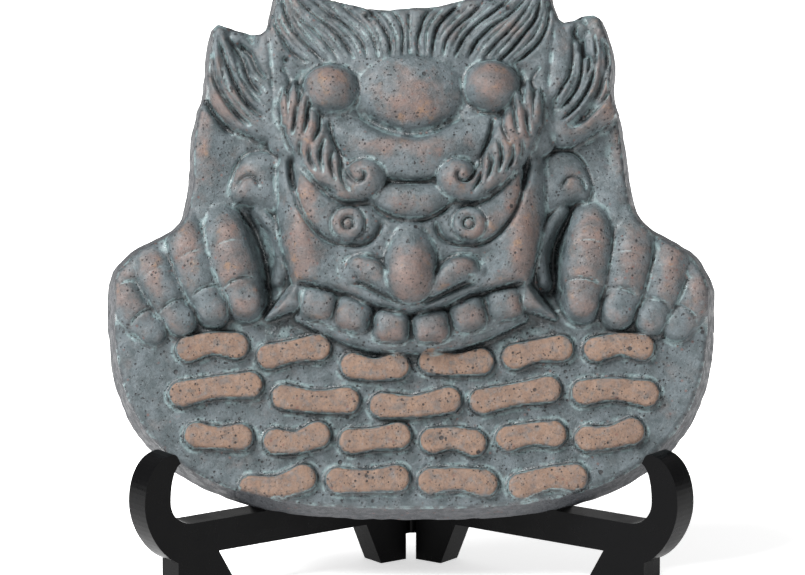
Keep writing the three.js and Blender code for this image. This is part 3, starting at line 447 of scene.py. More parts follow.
# below the jaw the head ends on the upper edge of the board
JAW_EDGE_WIDTH = 2.2
JAW_END = 59
JAW_TOP = 84
jaw = smooth_line(both_halves([(0, 61.7), (14, 63.2), (26, 66.8), (38, 72), (43, 73), (52, 70.3),
                               (JAW_END, 69.5)]))
above_jaw = V - np.interp(U, jaw[:, 0], jaw[:, 1])
above = np.clip(above_jaw / JAW_EDGE_WIDTH + 0.5, 0, 1)
under_face = (np.abs(U) < JAW_END) & (V < JAW_TOP)
W = np.where(under_face, np.minimum(W, BOARD_THICKNESS) * (1 - above) + W * above, W)

# cheeks, with a hollow beside each wing of the nose
for hand in HANDS:
    swell((hand * 39.8, 99.5), (7, 15), 2.7, hand * 8)
    swell((hand * 25.5, 92.7), (5, 5), -1.4)

# eyes: the ball, the iris with its ring, and the groove of the lower lid
EYE_CENTRE = -0.9
IRIS_RADIUS = 6.2
PUPIL_RADIUS = 2.0
RING_SIDES = 16
for hand in HANDS:
    roll(mirrored([(37.5, 124, 5, 29.5), (34.2, 114, 7, 31.2), (26.8, 105.8, 8, 32), (19.5, 104.5, 8, 32)],
                  hand, EYE_CENTRE), 6, 3)
    groove(mirrored([(42.3, 129), (41.6, 121), (39.5, 112), (35.8, 105), (29.5, 99), (21, 96.7), (14.5, 97.5),
                     (11, 101), (9.3, 106)], hand, EYE_CENTRE), 1.0, 2.6, ends=0.05)
    groove(mirrored([(42.5, 130), (42, 123.7), (40.9, 116.5)], hand, EYE_CENTRE), 1.7, 3.6, ends=0.3)
    (iris,) = mirrored([(21.6, 104.3)], hand, EYE_CENTRE)
    dome(iris, (IRIS_RADIUS, IRIS_RADIUS - 0.2), 31.5, 2.2, soft=0.6, power=0.4)
    turns = np.linspace(0, 2 * np.pi, RING_SIDES, endpoint=False)
    for radius, half, depth in ((IRIS_RADIUS, 0.7, 1.1), (PUPIL_RADIUS, 0.6, 2.0)):
        ring = np.column_stack([iris[0] + radius * np.cos(turns), iris[1] + radius * np.sin(turns)])
        groove(ring, half, depth, closed=True)
    swell(iris, (2.4, 2.4), -1.0)

# forehead: plate, bowl and boss
roll(both_halves([(0, 129, 12, 35), (14, 131, 11, 34), (27, 136.2, 8, 31)]), 8, 4)
groove(both_halves([(0, 119), (5, 119.4), (9.3, 120.3)]), 1.1, 2.4, ends=0.05)
dome((-0.5, 150.5), (19.5, 14.5), 27, 6.5, soft=4, power=0.7)
groove(both_halves([(0, 136.6), (5.5, 137.3), (10.5, 139.2), (15.8, 143), (19.3, 149.5)]), 2.6, 4.2, ends=0.3)
swell((-0.5, 147), (12, 7), 1.5)

# strands of the hair and of the tufts: deep ones, and fine ones between them
for hand in HANDS:
    fan = [mirrored([(49, 189), (49.5, 179.5), (46.5, 172), (42, 166.5), (36.5, 162.5)], hand),
           mirrored([(41.5, 188), (33.5, 181.5), (26.5, 177), (21, 171.5), (17.5, 164)], hand),
           mirrored([(8.5, 184), (5, 180), (3.2, 175.5), (2.6, 170.5), (3.4, 164.5)], hand)]
    strands(fan, 8, 0.7, 2.6, ends=0.16)
    strands(fan, 7, 0.55, 1.3, ends=0.3, first=1 / 14, last=13 / 14)
    groove(mirrored([(51, 188), (51.5, 178), (50.5, 167), (49.5, 153), (49.5, 139)], hand),
           1.3, 1.0, ends=0.3)
    groove(mirrored([(46.5, 162), (44, 158), (43, 153.5)], hand), 0.8, 1.4)
groove([(-0.5, 182), (-0.7, 174), (-0.4, 166)], 0.9, 2.0)
left_tuft = [[(-72, 172), (-71.5, 161), (-67.5, 150.5), (-60.5, 142), (-53.5, 138)],
             [(-70.5, 174), (-66.5, 165.5), (-63.5, 155.5), (-58, 147), (-50.5, 140.5)],
             [(-63.5, 171.5), (-59.5, 167.5), (-57, 162.5), (-53.5, 157.5), (-50, 152.5)]]
right_tuft = [[(70, 172), (71.5, 163), (71, 153.5), (66, 145.5), (57.5, 138.5)],
              [(68, 175), (68.2, 165), (66.5, 155), (61.5, 146.5), (54, 140)],
              [(58.5, 173.5), (58, 166), (57, 159), (54.5, 154), (51.5, 149)]]
left_tuft_lines = [[(-71.8, 174), (-71, 159), (-65, 147.5), (-57.5, 139.8)],
                   [(-69.8, 174), (-65.8, 161.5), (-60, 149.8), (-52.2, 143)],
                   [(-66.5, 173.6), (-61.5, 166), (-57.8, 156.7), (-53.6, 151.5)],
                   [(-62.5, 171), (-57.8, 166.5), (-55.4, 161), (-51.8, 157)],
                   [(-75, 160), (-73.5, 150), (-68.5, 142), (-63.5, 138)]]
for line in left_tuft_lines:
    groove(line, 0.95, 3.6, ends=0.14)
strands(left_tuft, 5, 0.55, 1.3, ends=0.3, first=1 / 10, last=9 / 10)
strands(right_tuft, 6, 0.75, 3.0, ends=0.16)
strands(right_tuft, 5, 0.55, 1.3, ends=0.3, first=1 / 10, last=9 / 10)
swell((51.5, 148), (1.4, 3.2), -3.0)
swell((-60.5, 168), (1.5, 4), -2.4, 20)

# tears in the clay where it was pulled out of the mould, with crumbs beside them
groove([(60.5, 178), (58.8, 174.5), (61, 171), (62.2, 167), (64.5, 163.5), (63.2, 159.5)], 1.1, 3.6, ends=0.2)
groove([(-16.5, 181.2), (-14.6, 179.2), (-13.6, 182.8)], 0.8, 2.2)
groove([(38.2, 149.5), (36.5, 146.2), (37.6, 143.4)], 0.6, 1.4)
CRUMBS = (((62.6, 176.4), 1.5, 1.7), ((60, 169.4), 1.3, 1.4), ((66.2, 166), 1.4, 1.2),
          ((-20.5, 184.2), 1.3, 1.2), ((-12.2, 180.8), 1.1, 1.0), ((-44.8, 164.3), 1.0, -2.2))
for place, size, rise in CRUMBS:
    swell(place, (size, size * 0.9), rise)

# horns
for hand in HANDS:
    dome((hand * 28.8, 153.2 + hand * 0.7), (10.5, 9.6), 25.5, 11, soft=4.5, power=0.6)
    groove(mirrored([(20, 157.5), (18.4, 151.5), (21.3, 146.8), (27.5, 144.2), (34, 145.6)], hand),
           0.8, 0.8, ends=0.3)

# wrinkle over the nose
roll(both_halves([(0, 112.3, 5.9, 35.2), (6, 113, 5.4, 34.8), (12.5, 115, 4.3, 33)]), 4, 1.2)

# brows that end in a curl, cut into leaf-shaped locks by slots, with three loose tips at the top;
# each tip gives across, up, half width, top level and lean
BROW_TIPS = ((45.2, 151, 1.5, 31, 0.10), (42, 153, 1.7, 32, 0.0), (38.2, 151.5, 1.6, 32.5, -0.16))
BROW_SLOTS = [[(33, 146), (32.8, 139), (35.4, 132.5)], [(37, 148.5), (37.2, 142), (38.6, 135.5)],
              [(41.4, 147), (41.6, 141), (42.8, 135)], [(36.3, 133), (36.4, 127.5), (33.4, 122)],
              [(30.6, 135.5), (32.5, 128.8), (31.2, 121.5)], [(27.6, 131), (28.8, 125.5), (26.6, 118.5)],
              [(25.2, 127.5), (24.8, 120.5), (21.4, 114.8)], [(39.6, 134.5), (40, 130), (38, 126)],
              [(32.6, 119), (29.6, 116.3), (26, 114.6)]]
for hand in HANDS:
    brow = mirrored([(41, 150.3, 4.6, 29), (38.8, 141.6, 6.9, 33), (35.4, 133.6, 6.9, 34.5),
                     (30.7, 125.8, 6.4, 35.5), (24.9, 118.7, 5.6, 36.2), (18.4, 116.9, 4.4, 36.5)], hand)
    roll(brow, 5, 1.2)
    dome((hand * 16.4, 120.4), (7.5, 7.3), 31, 7.5, soft=0.8)
    for u, v, half, top, lean in BROW_TIPS:
        roll(mirrored([(u + lean * 6, v + 2.5, 0.4, top - 3.2), (u, v - 3, half, top),
                       (u - lean * 5, v - 10, half, top)], hand), 2.5, 0.5)
    for slot_points in BROW_SLOTS:
        groove(mirrored(slot_points, hand), 0.75, 3.2, ends=0.4)
    groove(mirrored([(29.5, 142.5), (28, 135.5), (25.6, 129), (23.6, 123.5), (20.2, 119.2), (17.3, 119.4),
                     (16.6, 121.8), (18.4, 122.8)], hand), 0.75, 2.6, ends=0.08)
    groove(mirrored([(43, 129.3), (37, 121.2), (30.3, 115), (23.4, 111.3), (16.6, 111.1), (11.5, 113.7)],
                    hand), 0.7, 0.9)

# nose with its wings
NOSE_CENTRE = 0.5
roll([(0, 104, 5.5, 32), (0, 98, 8, 35.2), (0, 92, 9.4, 38.8), (-0.5, 86.5, 9.6, 40.4)], 10, 3)
dome((-0.5, 85.5), (9.8, 10.6), 28, 13.5, soft=2.5, power=0.55)
groove(both_halves([(0, 105), (6.5, 106.2), (11.5, 109), (14.5, 112.5)]), 1.0, 1.8, ends=0.12)
for hand in HANDS:
    roll(mirrored([(23.5, 87.5, 3.4, 30), (20, 89, 4.4, 33.6), (16, 88, 4.9, 35), (11.5, 85, 4.4, 35.4),
                   (7, 81, 3, 33)], hand, NOSE_CENTRE), 5, 1.8)
    groove(mirrored([(24.5, 87), (23, 91), (19, 92.7), (13, 91.5), (9.5, 88), (8, 85)], hand, NOSE_CENTRE),
           0.9, 2.0)
    groove(mirrored([(23.5, 83), (18.5, 82.5), (13, 80), (7, 77), (2.7, 75)], hand, NOSE_CENTRE), 0.9, 1.8)

# mouth: teeth in a sunk band, the lips, and a tusk at each corner; each tooth gives across, up,
# half width, half height, turn and top level
TEETH = ((7, 68.2, 6.9, 6.4, 5, 29), (20.5, 72.6, 6.8, 6.8, 17, 27.8), (33.2, 76.2, 6.6, 6.2, 10, 26))
TOOTH_FOOT = 20
TOOTH_SQUARENESS = 3.4
MOUTH_TOP = [(0, 71.5), (7.8, 73), (15.8, 75.5), (23.8, 79.2), (32, 81.5), (41, 83.5)]
MOUTH_FOOT = [(0, 62), (14, 63.5), (26.5, 67.2), (40.3, 73.8)]
press(both_halves(MOUTH_TOP) + both_halves(MOUTH_FOOT)[::-1], 22.5)
for hand in HANDS:
    for u, v, half, tall, turn, top in TEETH:
        dome((hand * u, v), (half, tall), TOOTH_FOOT, top - TOOTH_FOOT, soft=0.4, turn=hand * turn,
             square=TOOTH_SQUARENESS)
    slab(mirrored([(41.2, 85.5), (38.8, 80), (38.5, 75), (45, 73), (52.2, 71.2), (47.2, 78.5)], hand),
         17, 6.5, 3.5, 0.6)
    groove(mirrored([(41.8, 83.8), (45, 79.5), (50.5, 72.5)], hand), 0.7, 1.3, ends=0.2)
roll(both_halves([(0, 62, 2.8, 22.4), (14, 63, 2.6, 22), (26.5, 66.5, 2.4, 21), (40, 72, 1.8, 19.5)]),
     2.5, 1.8)
groove(both_halves(MOUTH_TOP), 0.8, 1.4, ends=0.06)

# ears
for hand in HANDS:
    slab(mirrored([(45.5, 129), (48.5, 131.3), (53.5, 132.2), (58.8, 131.2), (62.5, 126.7), (65, 119),
                   (63.3, 113.5), (57.8, 111.8), (51.8, 109.8), (45.5, 110.3)], hand), 16.6, 4.9, 8, 2.8)
    groove(mirrored([(54, 118), (56, 121.8), (58.7, 122.5), (61.5, 121), (63.5, 117)], hand),
           0.8, 1.8, ends=0.2)
    groove(mirrored([(47, 126), (48.5, 130), (53.5, 132), (59, 130.8), (63, 126), (65.2, 118.5)], hand),
           0.8, 1.2, ends=0.25)

# hollows between the hands and the face, each with a low ridge along it
groove([(-63, 112), (-58, 107), (-54.5, 98), (-53, 88.5), (-53, 81), (-55.5, 74.5)], 3.6, 7.0, ends=0.2)
groove([(63, 113), (56.5, 108), (51.5, 99.5), (49.5, 89.5), (50, 81.5), (51.5, 74.5)], 3.6, 7.0, ends=0.2)
for hand in HANDS:
    roll(mirrored([(54.5, 110.5, 2, 18.5), (49, 103.2, 2, 20.6), (46.3, 94.8, 2, 20.8),
                   (47.3, 85.2, 2, 18.5)], hand), 2.0, 2.2)

# hands over the board's shoulders; each finger gives its half width, its top level and a line from
# the knuckle to the tip, where it has its nail
FINGERS = (
    (8.4, 27, [(-69.3, 114), (-67.3, 101.5), (-63.5, 89), (-59.8, 78.5)]),
    (8.2, 25.4, [(-82.3, 115.5), (-80.3, 100), (-76, 86.5), (-71.5, 75.7)]),
    (7.9, 23.2, [(-96.7, 106), (-93.2, 91.5), (-88, 80.5), (-83, 71.3)]),
    (7.7, 21.2, [(-107.2, 96.7), (-104, 83.5), (-99, 74.6), (-93.5, 67.7)]),
    (8.4, 27, [(65.3, 115), (64.6, 101.5), (62.9, 88), (61.4, 78.2)]),
    (8.2, 25.4, [(78, 115), (79.3, 99), (77.2, 85.5), (74.4, 75)]),
    (7.8, 23.2, [(91, 107.5), (92.8, 93), (90, 81.5), (86.3, 71.6)]),
    (7.5, 21.2, [(105.4, 98), (104.5, 85.5), (100.8, 76), (95.7, 69)]))
FINGER_WIDTHS = (0.77, 0.97, 1, 0.85)
FINGER_DROPS = (10.5, 1.6, 0.4, 3)
FOLD_BOW = 1.8
for hand in HANDS:
    slab(mirrored([(107.8, 88.8), (97.5, 97), (85, 104.3), (81, 111.5), (66.5, 112.3), (60, 105), (58, 94),
                   (59, 85), (75.5, 84), (93.5, 82.5), (105.5, 80.5)], hand), 13, 6.5, 9, 2)
for half, top, line in FINGERS:
    along_finger = zip(line, FINGER_WIDTHS, FINGER_DROPS)
    roll([(*point, half * width, top - lower) for point, width, lower in along_finger], 7, 0.6)
    tip = np.array(line[-1])
    way = tip - line[-2]
    way /= np.hypot(*way)
    beside = np.array((-way[1], way[0]))
    reach = half * FINGER_WIDTHS[-1]
    for back, depth in ((0.95, 1.5), (2.9, 0.5)):
        fold = tip - way * reach * back
        groove([fold + side * beside * reach + forward * way
                for side, forward in ((-0.9, FOLD_BOW), (-0.4, 0), (0.4, 0), (0.9, FOLD_BOW))],
               0.7, depth, ends=0.3)
    dome(tip - way * 0.2, (reach * 0.8, reach * 0.92), top - FINGER_DROPS[-1] - 1.6, 2.6, soft=1.0,
         turn=math.degrees(math.atan2(way[1], way[0])) + 90)

# rows of raised strokes across the board, bowed under the jaw; each row gives its height, how far it
# dips in the middle, where it starts and stops, and how many strokes it has
STROKE_ROWS = ((61.5, 7.0, -86, 89, 6), (45.5, 4.5, -88, 91, 5), (29.5, 2.0, -83, 85, 6),
               (13.0, 0.0, -64, 65, 4))
JAW_HALF_WIDTH = 42
STROKE_GAP = 2.4
STROKE_WALL = 0.8
STROKE_CROWN = 0.10
STROKE_BOW = 1.5
stroke_area = np.zeros(U.shape)
for row, (up, dip, start, stop, count) in enumerate(STROKE_ROWS):
    pitch = (stop - start) / count
    for index in range(count):
        wave = math.sin(index * 2.4 + row * 1.7)
        centre = start + pitch * (index + 0.5)
        reach = (pitch - STROKE_GAP) / 2 - STROKE_HALF_WIDTH + wave * 0.6
        tilt = math.radians(4 + 7 * math.sin(index * 1.9 + row * 2.6))
        level = up - dip * math.exp(-(centre / JAW_HALF_WIDTH) ** 2) + wave * 0.7
        line = smooth_line([
            (centre - reach * math.cos(tilt), level - reach * math.sin(tilt), STROKE_HALF_WIDTH),
            (centre, level + STROKE_BOW * math.cos(index * 1.3 + row), STROKE_HALF_WIDTH * 0.88),
            (centre + reach * math.cos(tilt), level + reach * math.sin(tilt), STROKE_HALF_WIDTH * 1.04)])
        part = window(line[:, :2], STROKE_HALF_WIDTH * 1.2 + 1)
        away, _, (width,) = along(line, part)
        wall = np.clip((width - away) / STROKE_WALL, 0, 1)
        crown = STROKE_CROWN * np.clip(1 - (away / width) ** 2, 0, 1)
        W[part] = np.maximum(W[part], BOARD_THICKNESS + STROKE_RISE * (1 + crown) * wall)
        stroke_area[part] = np.maximum(stroke_area[part], wall)


def blurred(field, radius):
    """The field smoothed over a radius in mm."""
    sigma = radius / CLAY_STEP
    pad = int(sigma * 3) + 1
    wide = np.pad(field, pad, mode="edge")
    rows_f = np.fft.fftfreq(wide.shape[0])[:, None]
    columns_f = np.fft.rfftfreq(wide.shape[1])[None, :]
    falloff = np.exp(-2 * (np.pi * sigma) ** 2 * (rows_f ** 2 + columns_f ** 2))
    return np.fft.irfft2(np.fft.rfft2(wide) * falloff, wide.shape)[pad:-pad, pad:-pad]


def lumps(radius):
    """An uneven field with lumps of one size, even in strength over the whole tile."""
    field = blurred(chance.normal(size=U.shape), radius)
    return field / field.std()


# hand-pressed clay is never quite even, and its front edge is rounded over
LUMPS = ((0.14, 5.0), (0.06, 1.4))
EDGE_ROUND = 1.3
W += sum(rise * lumps(radius) for rise, radius in LUMPS)
rim, _ = nearest_on(FRONT_EDGE, U, V)
W -= EDGE_ROUND * (1 - np.sqrt(1 - (1 - np.clip(rim / EDGE_ROUND, 0, 1)) ** 2))

# hollows, which the clay's colour below darkens as painted shade, and a painted shadow on the board just
# under the jaw
HOLLOW_REACH = 1.1
HOLLOW_DEPTH = 1.1
UNDER_JAW_PAINTED_SHADOW = 0.55
UNDER_JAW_DROP = 3.5
UNDER_JAW_SPREAD = 3.2
UNDER_JAW_HALF_WIDTH = 52
DEEP = (blurred(W, HOLLOW_REACH) - W) / HOLLOW_DEPTH
on_board = (np.abs(U) < UNDER_JAW_HALF_WIDTH) & (W < BOARD_THICKNESS + 2)
# a painted shadow band on the board under the jaw
DEEP += UNDER_JAW_PAINTED_SHADOW * np.exp(-((above_jaw + UNDER_JAW_DROP) / UNDER_JAW_SPREAD) ** 2) * on_board
DEEP = np.clip(DEEP, 0, 1)

# high places, and places on either side that hands and cloths have rubbed; each of these gives
# across, up, half width, half height and how much
RELIEF_REACH = 9
RELIEF_DEPTH = 7.5
RUBBED = ((0, 147, 13, 8, 0.75), (11, 132, 12, 3.5, 0.4), (40, 97, 5, 17, 0.5), (37, 113, 4, 8, 0.5),
          (58, 122, 6, 7, 0.5), (75, 137, 4, 14, 0.6), (68, 147, 4, 9, 0.25), (24, 74, 8, 3, 0.2),
          (36, 138, 4, 8, 0.2), (66, 98, 4, 12, 0.5), (80, 95, 4, 11, 0.5), (93, 92, 4, 9, 0.6),
          (103, 86, 4, 9, 0.5), (26, 104, 7, 5, 0.3), (0, 62, 24, 3, 0.2))
HIGH = (W - blurred(W, RELIEF_REACH)) / RELIEF_DEPTH
for u, v, half, tall, much in RUBBED:
    for hand in HANDS if u else (1,):
        HIGH += much * np.exp(-((U - hand * u) / half) ** 2 - ((V - v) / tall) ** 2)
HIGH = np.clip(HIGH, 0, 1)


def sampled(field, u, v):
    """The field's value between its cells."""
    a = np.clip((u - columns[0]) / CLAY_STEP, 0, len(columns) - 1.001)
    b = np.clip((v - rows[0]) / CLAY_STEP, 0, len(rows) - 1.001)
    i, j = a.astype(int), b.astype(int)
    s, t = a - i, b - j
    return ((field[j, i] * (1 - s) + field[j, i + 1] * s) * (1 - t)
            + (field[j + 1, i] * (1 - s) + field[j + 1, i + 1] * s) * t)


# the front is the clay field inside the front edge; its ragged rim is drawn out to the true edge
RIM_MARGIN = 0.3 * CLAY_STEP
RIM_EASINGS = 6
inside = rim > RIM_MARGIN
number = -np.ones(U.shape, int)
cells = inside[:-1, :-1] & inside[:-1, 1:] & inside[1:, :-1] & inside[1:, 1:]
used = np.zeros(U.shape, bool)
for dj, di in ((0, 0), (0, 1), (1, 0), (1, 1)):
    used[dj:dj + cells.shape[0], di:di + cells.shape[1]] |= cells
number[used] = np.arange(used.sum())
j, i = np.nonzero(cells)
quads = np.column_stack([number[j, i], number[j, i + 1], number[j + 1, i + 1], number[j + 1, i]])
points = np.column_stack([U[used], V[used], W[used]])
edges = set(zip(quads.ravel().tolist(), np.roll(quads, -1, axis=1).ravel().tolist()))
following = {a: b for a, b in edges if (b, a) not in edges}
loop = [max(following, key=lambda k: points[k, 0])]
while following[loop[-1]] != loop[0]:
    loop.append(following[loop[-1]])
loop = np.array(loop)
_, place = nearest_on(FRONT_EDGE, points[loop, 0], points[loop, 1])
count = len(FRONT_EDGE)
place = np.unwrap(place * 2 * np.pi / count) * count / (2 * np.pi)
place = np.maximum.accumulate(place)
for _ in range(RIM_EASINGS):
    ahead = np.append(place[1:], place[0] + count)
    behind = np.append(place[-1] - count, place[:-1])
    place = place * 0.5 + (ahead + behind) * 0.25


def on_line(line, place):
    """Points of a closed line at places counted along it."""
    base = np.floor(place).astype(int)
    share = (place - base)[:, None]
    return line[base % count] * (1 - share) + line[(base + 1) % count] * share


front = on_line(FRONT_EDGE, place)
back = on_line(OUTLINE, place)
points[loop, :2] = front
points[loop, 2] = sampled(W, front[:, 0], front[:, 1])
top = points[loop, 2]

# side wall with its draft, down to the flat back
WALL_SHARES = (0.12, 0.25, 0.38, 0.5, 0.62, 0.75, 0.88, 0.955, 1.0)
WALL_WAVE = 0.12
WALL_WAVE_MOST = 0.6
WALL_WAVE_REACH = 1.6
BACK_EDGE_ROUND = 0.9
wave = blurred(chance.normal(size=(len(WALL_SHARES), len(loop))), WALL_WAVE_REACH)
wave /= wave.std()
rings = [loop]
all_points = [points]
total = len(points)
for ring, share in enumerate(WALL_SHARES):
    level = top * (1 - share)
    keep = np.clip(level / np.minimum(top, BOARD_THICKNESS), 0, 1)[:, None]
    flat = back + (front - back) * keep
    toward = front - back
    toward /= np.linalg.norm(toward, axis=1, keepdims=True)
    draw = np.clip(WALL_WAVE * (1 + wave[ring]), 0, WALL_WAVE_MOST)
    if ring == len(WALL_SHARES) - 1:
        draw = draw + BACK_EDGE_ROUND
    flat = flat + toward * draw[:, None]
    all_points.append(np.column_stack([flat, level]))
    rings.append(np.arange(total, total + len(loop)))
    total += len(loop)
faces = [quads]
for upper, lower in zip(rings[:-1], rings[1:]):
    faces.append(np.column_stack([upper, lower, np.roll(lower, -1), np.roll(upper, -1)]))

# flat back with the scooped hollow
SCOOP_HEIGHT, SCOOP_HALF_WIDTH, SCOOP_HALF_HEIGHT, SCOOP_DEPTH = 122, 52, 40, 17
SCOOP_SIDES = 96
SCOOP_STEPS = 14
turns = np.linspace(0, 2 * np.pi, SCOOP_SIDES, endpoint=False)
scoop_rings = []
for depth_turn in np.linspace(0, np.pi / 2, SCOOP_STEPS)[:-1]:
    all_points.append(np.column_stack([
        SCOOP_HALF_WIDTH * math.cos(depth_turn) * np.cos(turns),
        SCOOP_HEIGHT + SCOOP_HALF_HEIGHT * math.cos(depth_turn) * np.sin(turns),
        np.full(SCOOP_SIDES, SCOOP_DEPTH * math.sin(depth_turn))]))
    scoop_rings.append(np.arange(total, total + SCOOP_SIDES))
    total += SCOOP_SIDES
for outer, inner in zip(scoop_rings[:-1], scoop_rings[1:]):
    faces.append(np.column_stack([outer, inner, np.roll(inner, -1), np.roll(outer, -1)]))
all_points.append(np.array([[0, SCOOP_HEIGHT, SCOOP_DEPTH]]))
all_points = np.vstack(all_points)
deepest = scoop_rings[-1]
triangles = [np.column_stack([deepest, np.full(SCOOP_SIDES, total), np.roll(deepest, -1)])]
flat_loops = [rings[-1], scoop_rings[0][::-1]]
filled = tessellate_polygon([[Vector((*all_points[k, :2], 0)) for k in line] for line in flat_loops])
filled = np.concatenate(flat_loops)[np.array(filled)]
p, q, r = (all_points[filled[:, k], :2] for k in range(3))
turned = (q[:, 0] - p[:, 0]) * (r[:, 1] - p[:, 1]) - (q[:, 1] - p[:, 1]) * (r[:, 0] - p[:, 0]) > 0
filled[turned] = filled[turned][:, ::-1]
triangles.append(filled)


def stand_up(points):
    """From the tile's own plane to the room, in metres."""
    u, v, w = points.T
    return np.column_stack([
        u, SEAT_DEPTH + v * math.sin(LEAN) - w * math.cos(LEAN),
        SEAT_UP + v * math.cos(LEAN) + w * math.sin(LEAN)]) / 1000


def mesh_object(name, points, quads, triangles):
    """A smooth-shaded object from its points and the corners of its faces."""
    mesh = bpy.data.meshes.new(name)
    corners = np.concatenate([quads.ravel(), triangles.ravel()]).astype(np.int32)
    sizes = np.concatenate([np.full(len(quads), 4), np.full(len(triangles), 3)])
    mesh.vertices.add(len(points))
    mesh.vertices.foreach_set("co", points.astype(np.float32).ravel())
    mesh.loops.add(len(corners))
    mesh.loops.foreach_set("vertex_index", corners)
    mesh.polygons.add(len(sizes))
    mesh.polygons.foreach_set("loop_start", (np.cumsum(sizes) - sizes).astype(np.int32))
    mesh.update(calc_edges=True)
    mesh.validate()
    mesh.polygons.foreach_set("use_smooth", np.ones(len(sizes), bool))
    made = bpy.data.objects.new(name, mesh)
    bpy.context.scene.collection.objects.link(made)
    return made


# the tile carries how deep in a hollow each point is (with the painted shadow under the jaw), how high, how
# near a stroke's top, and whether it is off the front
tile = mesh_object("clay_tile", stand_up(all_points), np.vstack(faces), np.vstack(triangles))
for name, field in (("deep", DEEP), ("high", HIGH), ("stroke", stroke_area)):
    layer = tile.data.attributes.new(name, "FLOAT", "POINT")
    values = np.zeros(len(all_points), np.float32)
    values[:len(points)] = sampled(field, points[:, 0], points[:, 1])
    layer.data.foreach_set("value", values)
side = tile.data.attributes.new("side", "FLOAT", "POINT")
values = np.ones(len(all_points), np.float32)
values[:len(points)] = 0
values[loop] = 1
side.data.foreach_set("value", values)

# smoked coarse clay: grey-green, brown where rubbed, with specks of grog; painted shade in the hollows, on
# the side walls and on the back, a painted shadow under the jaw and a pale painted sheen by the hollows. Each
# pattern gives its grain size in mm.
clay = Finish("smoked_clay")
GREEN_GREY = (0.029, 0.041, 0.045, 1)
PALE_GREY = (0.064, 0.080, 0.088, 1)
DULL_BROWN = (0.066, 0.055, 0.053, 1)
ROSE_BROWN = (0.120, 0.074, 0.060, 1)
OCHRE = (0.150, 0.082, 0.042, 1)
STROKE_BROWN = (0.098, 0.060, 0.042, 1)
STROKE_TAN = (0.150, 0.092, 0.062, 1)
SIDE_PAINTED_SHADE = (0.016, 0.016, 0.020, 1)
SHADE_AND_GRIT_BLACK = (0.006, 0.008, 0.009, 1)
SPECK = (0.003, 0.003, 0.004, 1)
CHALK = (0.150, 0.170, 0.180, 1)
TEAL_PAINTED_SHEEN = (0.130, 0.185, 0.190, 1)
RUST = (0.080, 0.028, 0.020, 1)
deep, high = clay.attribute("deep"), clay.attribute("high")
stroke, wall_side = clay.attribute("stroke"), clay.attribute("side")
mottle = clay.ramp(clay.noise(7, 8, 0.72), 0.38, 0.62)
ground = clay.blend(mottle, GREEN_GREY, PALE_GREY)
warm = clay.blend(clay.ramp(clay.noise(6, 6, 0.65, shift=5.0), 0.3, 0.72), DULL_BROWN, ROSE_BROWN)
warm = clay.blend(clay.ramp(clay.noise(5, 5, 0.65, shift=23.0), 0.56, 0.7, 0, 0.75), warm, OCHRE)
rub = clay.combine("ADD", high, clay.ramp(clay.noise(9, 7, 0.66, shift=3.1), 0.25, 0.75, -0.45, 0.32))
colour = clay.blend(clay.ramp(rub, 0.0, 0.85, 0, 0.9), ground, warm)
stroke_clay = clay.blend(clay.ramp(clay.noise(5, 7, 0.7, shift=9.0), 0.3, 0.7), STROKE_BROWN, STROKE_TAN)
worn = clay.combine("ADD", stroke, clay.ramp(clay.noise(2.5, 5, shift=7.0), 0.3, 0.7, -0.35, 0.1))
colour = clay.blend(clay.ramp(worn, 0.35, 0.95, 0, 0.97), colour, stroke_clay)
# painted shade: the side walls and the back darkened nearly to black
colour = clay.blend(clay.combine("MULTIPLY", wall_side, 0.85), colour, SIDE_PAINTED_SHADE)
# painted sheen: pale teal in patches along the sides of the hollows, standing for glints of light there
sheen_patches = clay.ramp(clay.noise(4, 5, shift=33.0), 0.42, 0.6)
painted_sheen = clay.combine("MULTIPLY", clay.ramp(deep, 0.02, 0.22, 0, 0.75), sheen_patches)
colour = clay.blend(painted_sheen, colour, TEAL_PAINTED_SHEEN)
# painted shade: the hollows and the band under the jaw darkened nearly to black, with random darker patches
# of dirt
shade_and_dirt = clay.combine("ADD", deep, clay.ramp(clay.noise(2.5, 3, shift=11.0), 0.3, 0.7, -0.2, 0.15))
colour = clay.blend(clay.ramp(shade_and_dirt, 0.12, 0.95, 0, 0.92), colour, SHADE_AND_GRIT_BLACK)
grit = clay.ramp(clay.noise(0.9, 5, 0.75, shift=19.0), 0.5, 0.68, 0, 0.6)
colour = clay.blend(grit, colour, SHADE_AND_GRIT_BLACK)
chalk = clay.ramp(clay.noise(1.3, 5, 0.75, shift=29.0), 0.56, 0.7, 0, 0.35)
colour = clay.blend(chalk, colour, CHALK)
rust = clay.ramp(clay.cells(3.2, 12.0), 0.10, 0.22, 0.6, 0.0)
rust = clay.combine("MULTIPLY", rust, clay.ramp(clay.noise(7, 3, shift=31.0), 0.5, 0.6))
colour = clay.blend(rust, colour, RUST)
specks = []
for size, near, far, shift in ((1.3, 0.12, 0.24, 2.0), (2.6, 0.12, 0.20, 4.0), (8.0, 0.07, 0.12, 6.0)):
    spot = clay.ramp(clay.cells(size, shift), near, far, 1.0, 0.0)
    kept = clay.ramp(clay.noise(size * 2, 3, shift=shift + 9), 0.46, 0.56)
    specks.append(clay.combine("MULTIPLY", spot, kept))
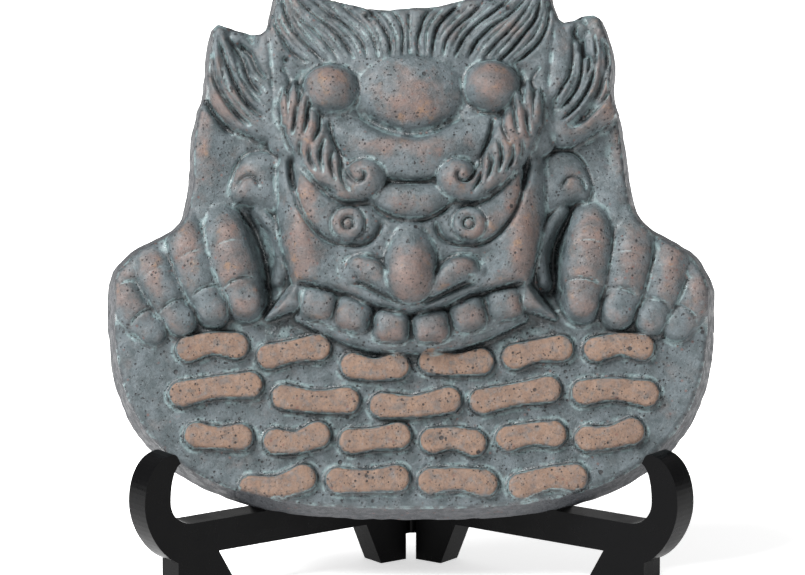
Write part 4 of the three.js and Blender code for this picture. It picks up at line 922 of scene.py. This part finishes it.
speck = clay.combine("MAXIMUM", clay.combine("MAXIMUM", specks[0], specks[1]), specks[2])
colour = clay.blend(clay.combine("MULTIPLY", speck, 0.92), colour, SPECK)
clay.put(clay.skin.inputs["Base Color"], colour)
gloss = clay.ramp(clay.noise(3.0, 4, shift=17.0), 0.38, 0.62, 0.72, 0.5)
gloss = clay.combine("SUBTRACT", gloss, clay.ramp(deep, 0.0, 0.3, 0, 0.28))
clay.put(clay.skin.inputs["Roughness"], clay.combine("ADD", gloss, clay.combine("MULTIPLY", stroke, 0.12)))
grain = clay.bump(clay.noise(0.9, 5, 0.72), 0.3, 0.9)
dimpled = clay.bump(clay.noise(3.2, 4, 0.6, shift=21.0), 0.5, 0.8, grain)
pitted = clay.bump(speck, -0.4, 1.0, dimpled)
clay.put(clay.skin.inputs["Normal"], pitted)
tile.data.materials.append(clay.material)
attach(tile, "root")
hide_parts("demon_face_tile")

# THE STAND
# Two mirrored halves moulded in black plastic, each a flat panel with a hook in front, a slanted
# bar behind and two feet. They open from a snap hinge at the back. Every edge is eased by the mould.
MOULD_EASE = 0.0005
MOULD_EASE_STEPS = 2
MOULD_EASE_ANGLE = math.radians(38)
PLASTIC_BLACK = (0.0012, 0.0012, 0.0014, 1)
PLASTIC_SHEEN = 0.05
plastic = Finish("black_moulded_plastic")
plastic.put(plastic.skin.inputs["Base Color"], PLASTIC_BLACK)
plastic.put(plastic.skin.inputs["Specular IOR Level"], PLASTIC_SHEEN)
plastic.put(plastic.skin.inputs["Roughness"], plastic.ramp(plastic.noise(12, 3), 0.35, 0.65, 0.24, 0.34))
plastic.put(plastic.skin.inputs["Normal"], plastic.bump(plastic.noise(1.5, 3), 0.03, 0.5))
for name in ("stand_half_left", "stand_half_right"):
    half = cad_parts[name]
    if half.data.materials:
        half.data.materials[0] = plastic.material
    else:
        half.data.materials.append(plastic.material)
    ease = half.modifiers.new("mould_ease", "BEVEL")
    ease.width = MOULD_EASE
    ease.segments = MOULD_EASE_STEPS
    ease.limit_method = "ANGLE"
    ease.angle_limit = MOULD_EASE_ANGLE
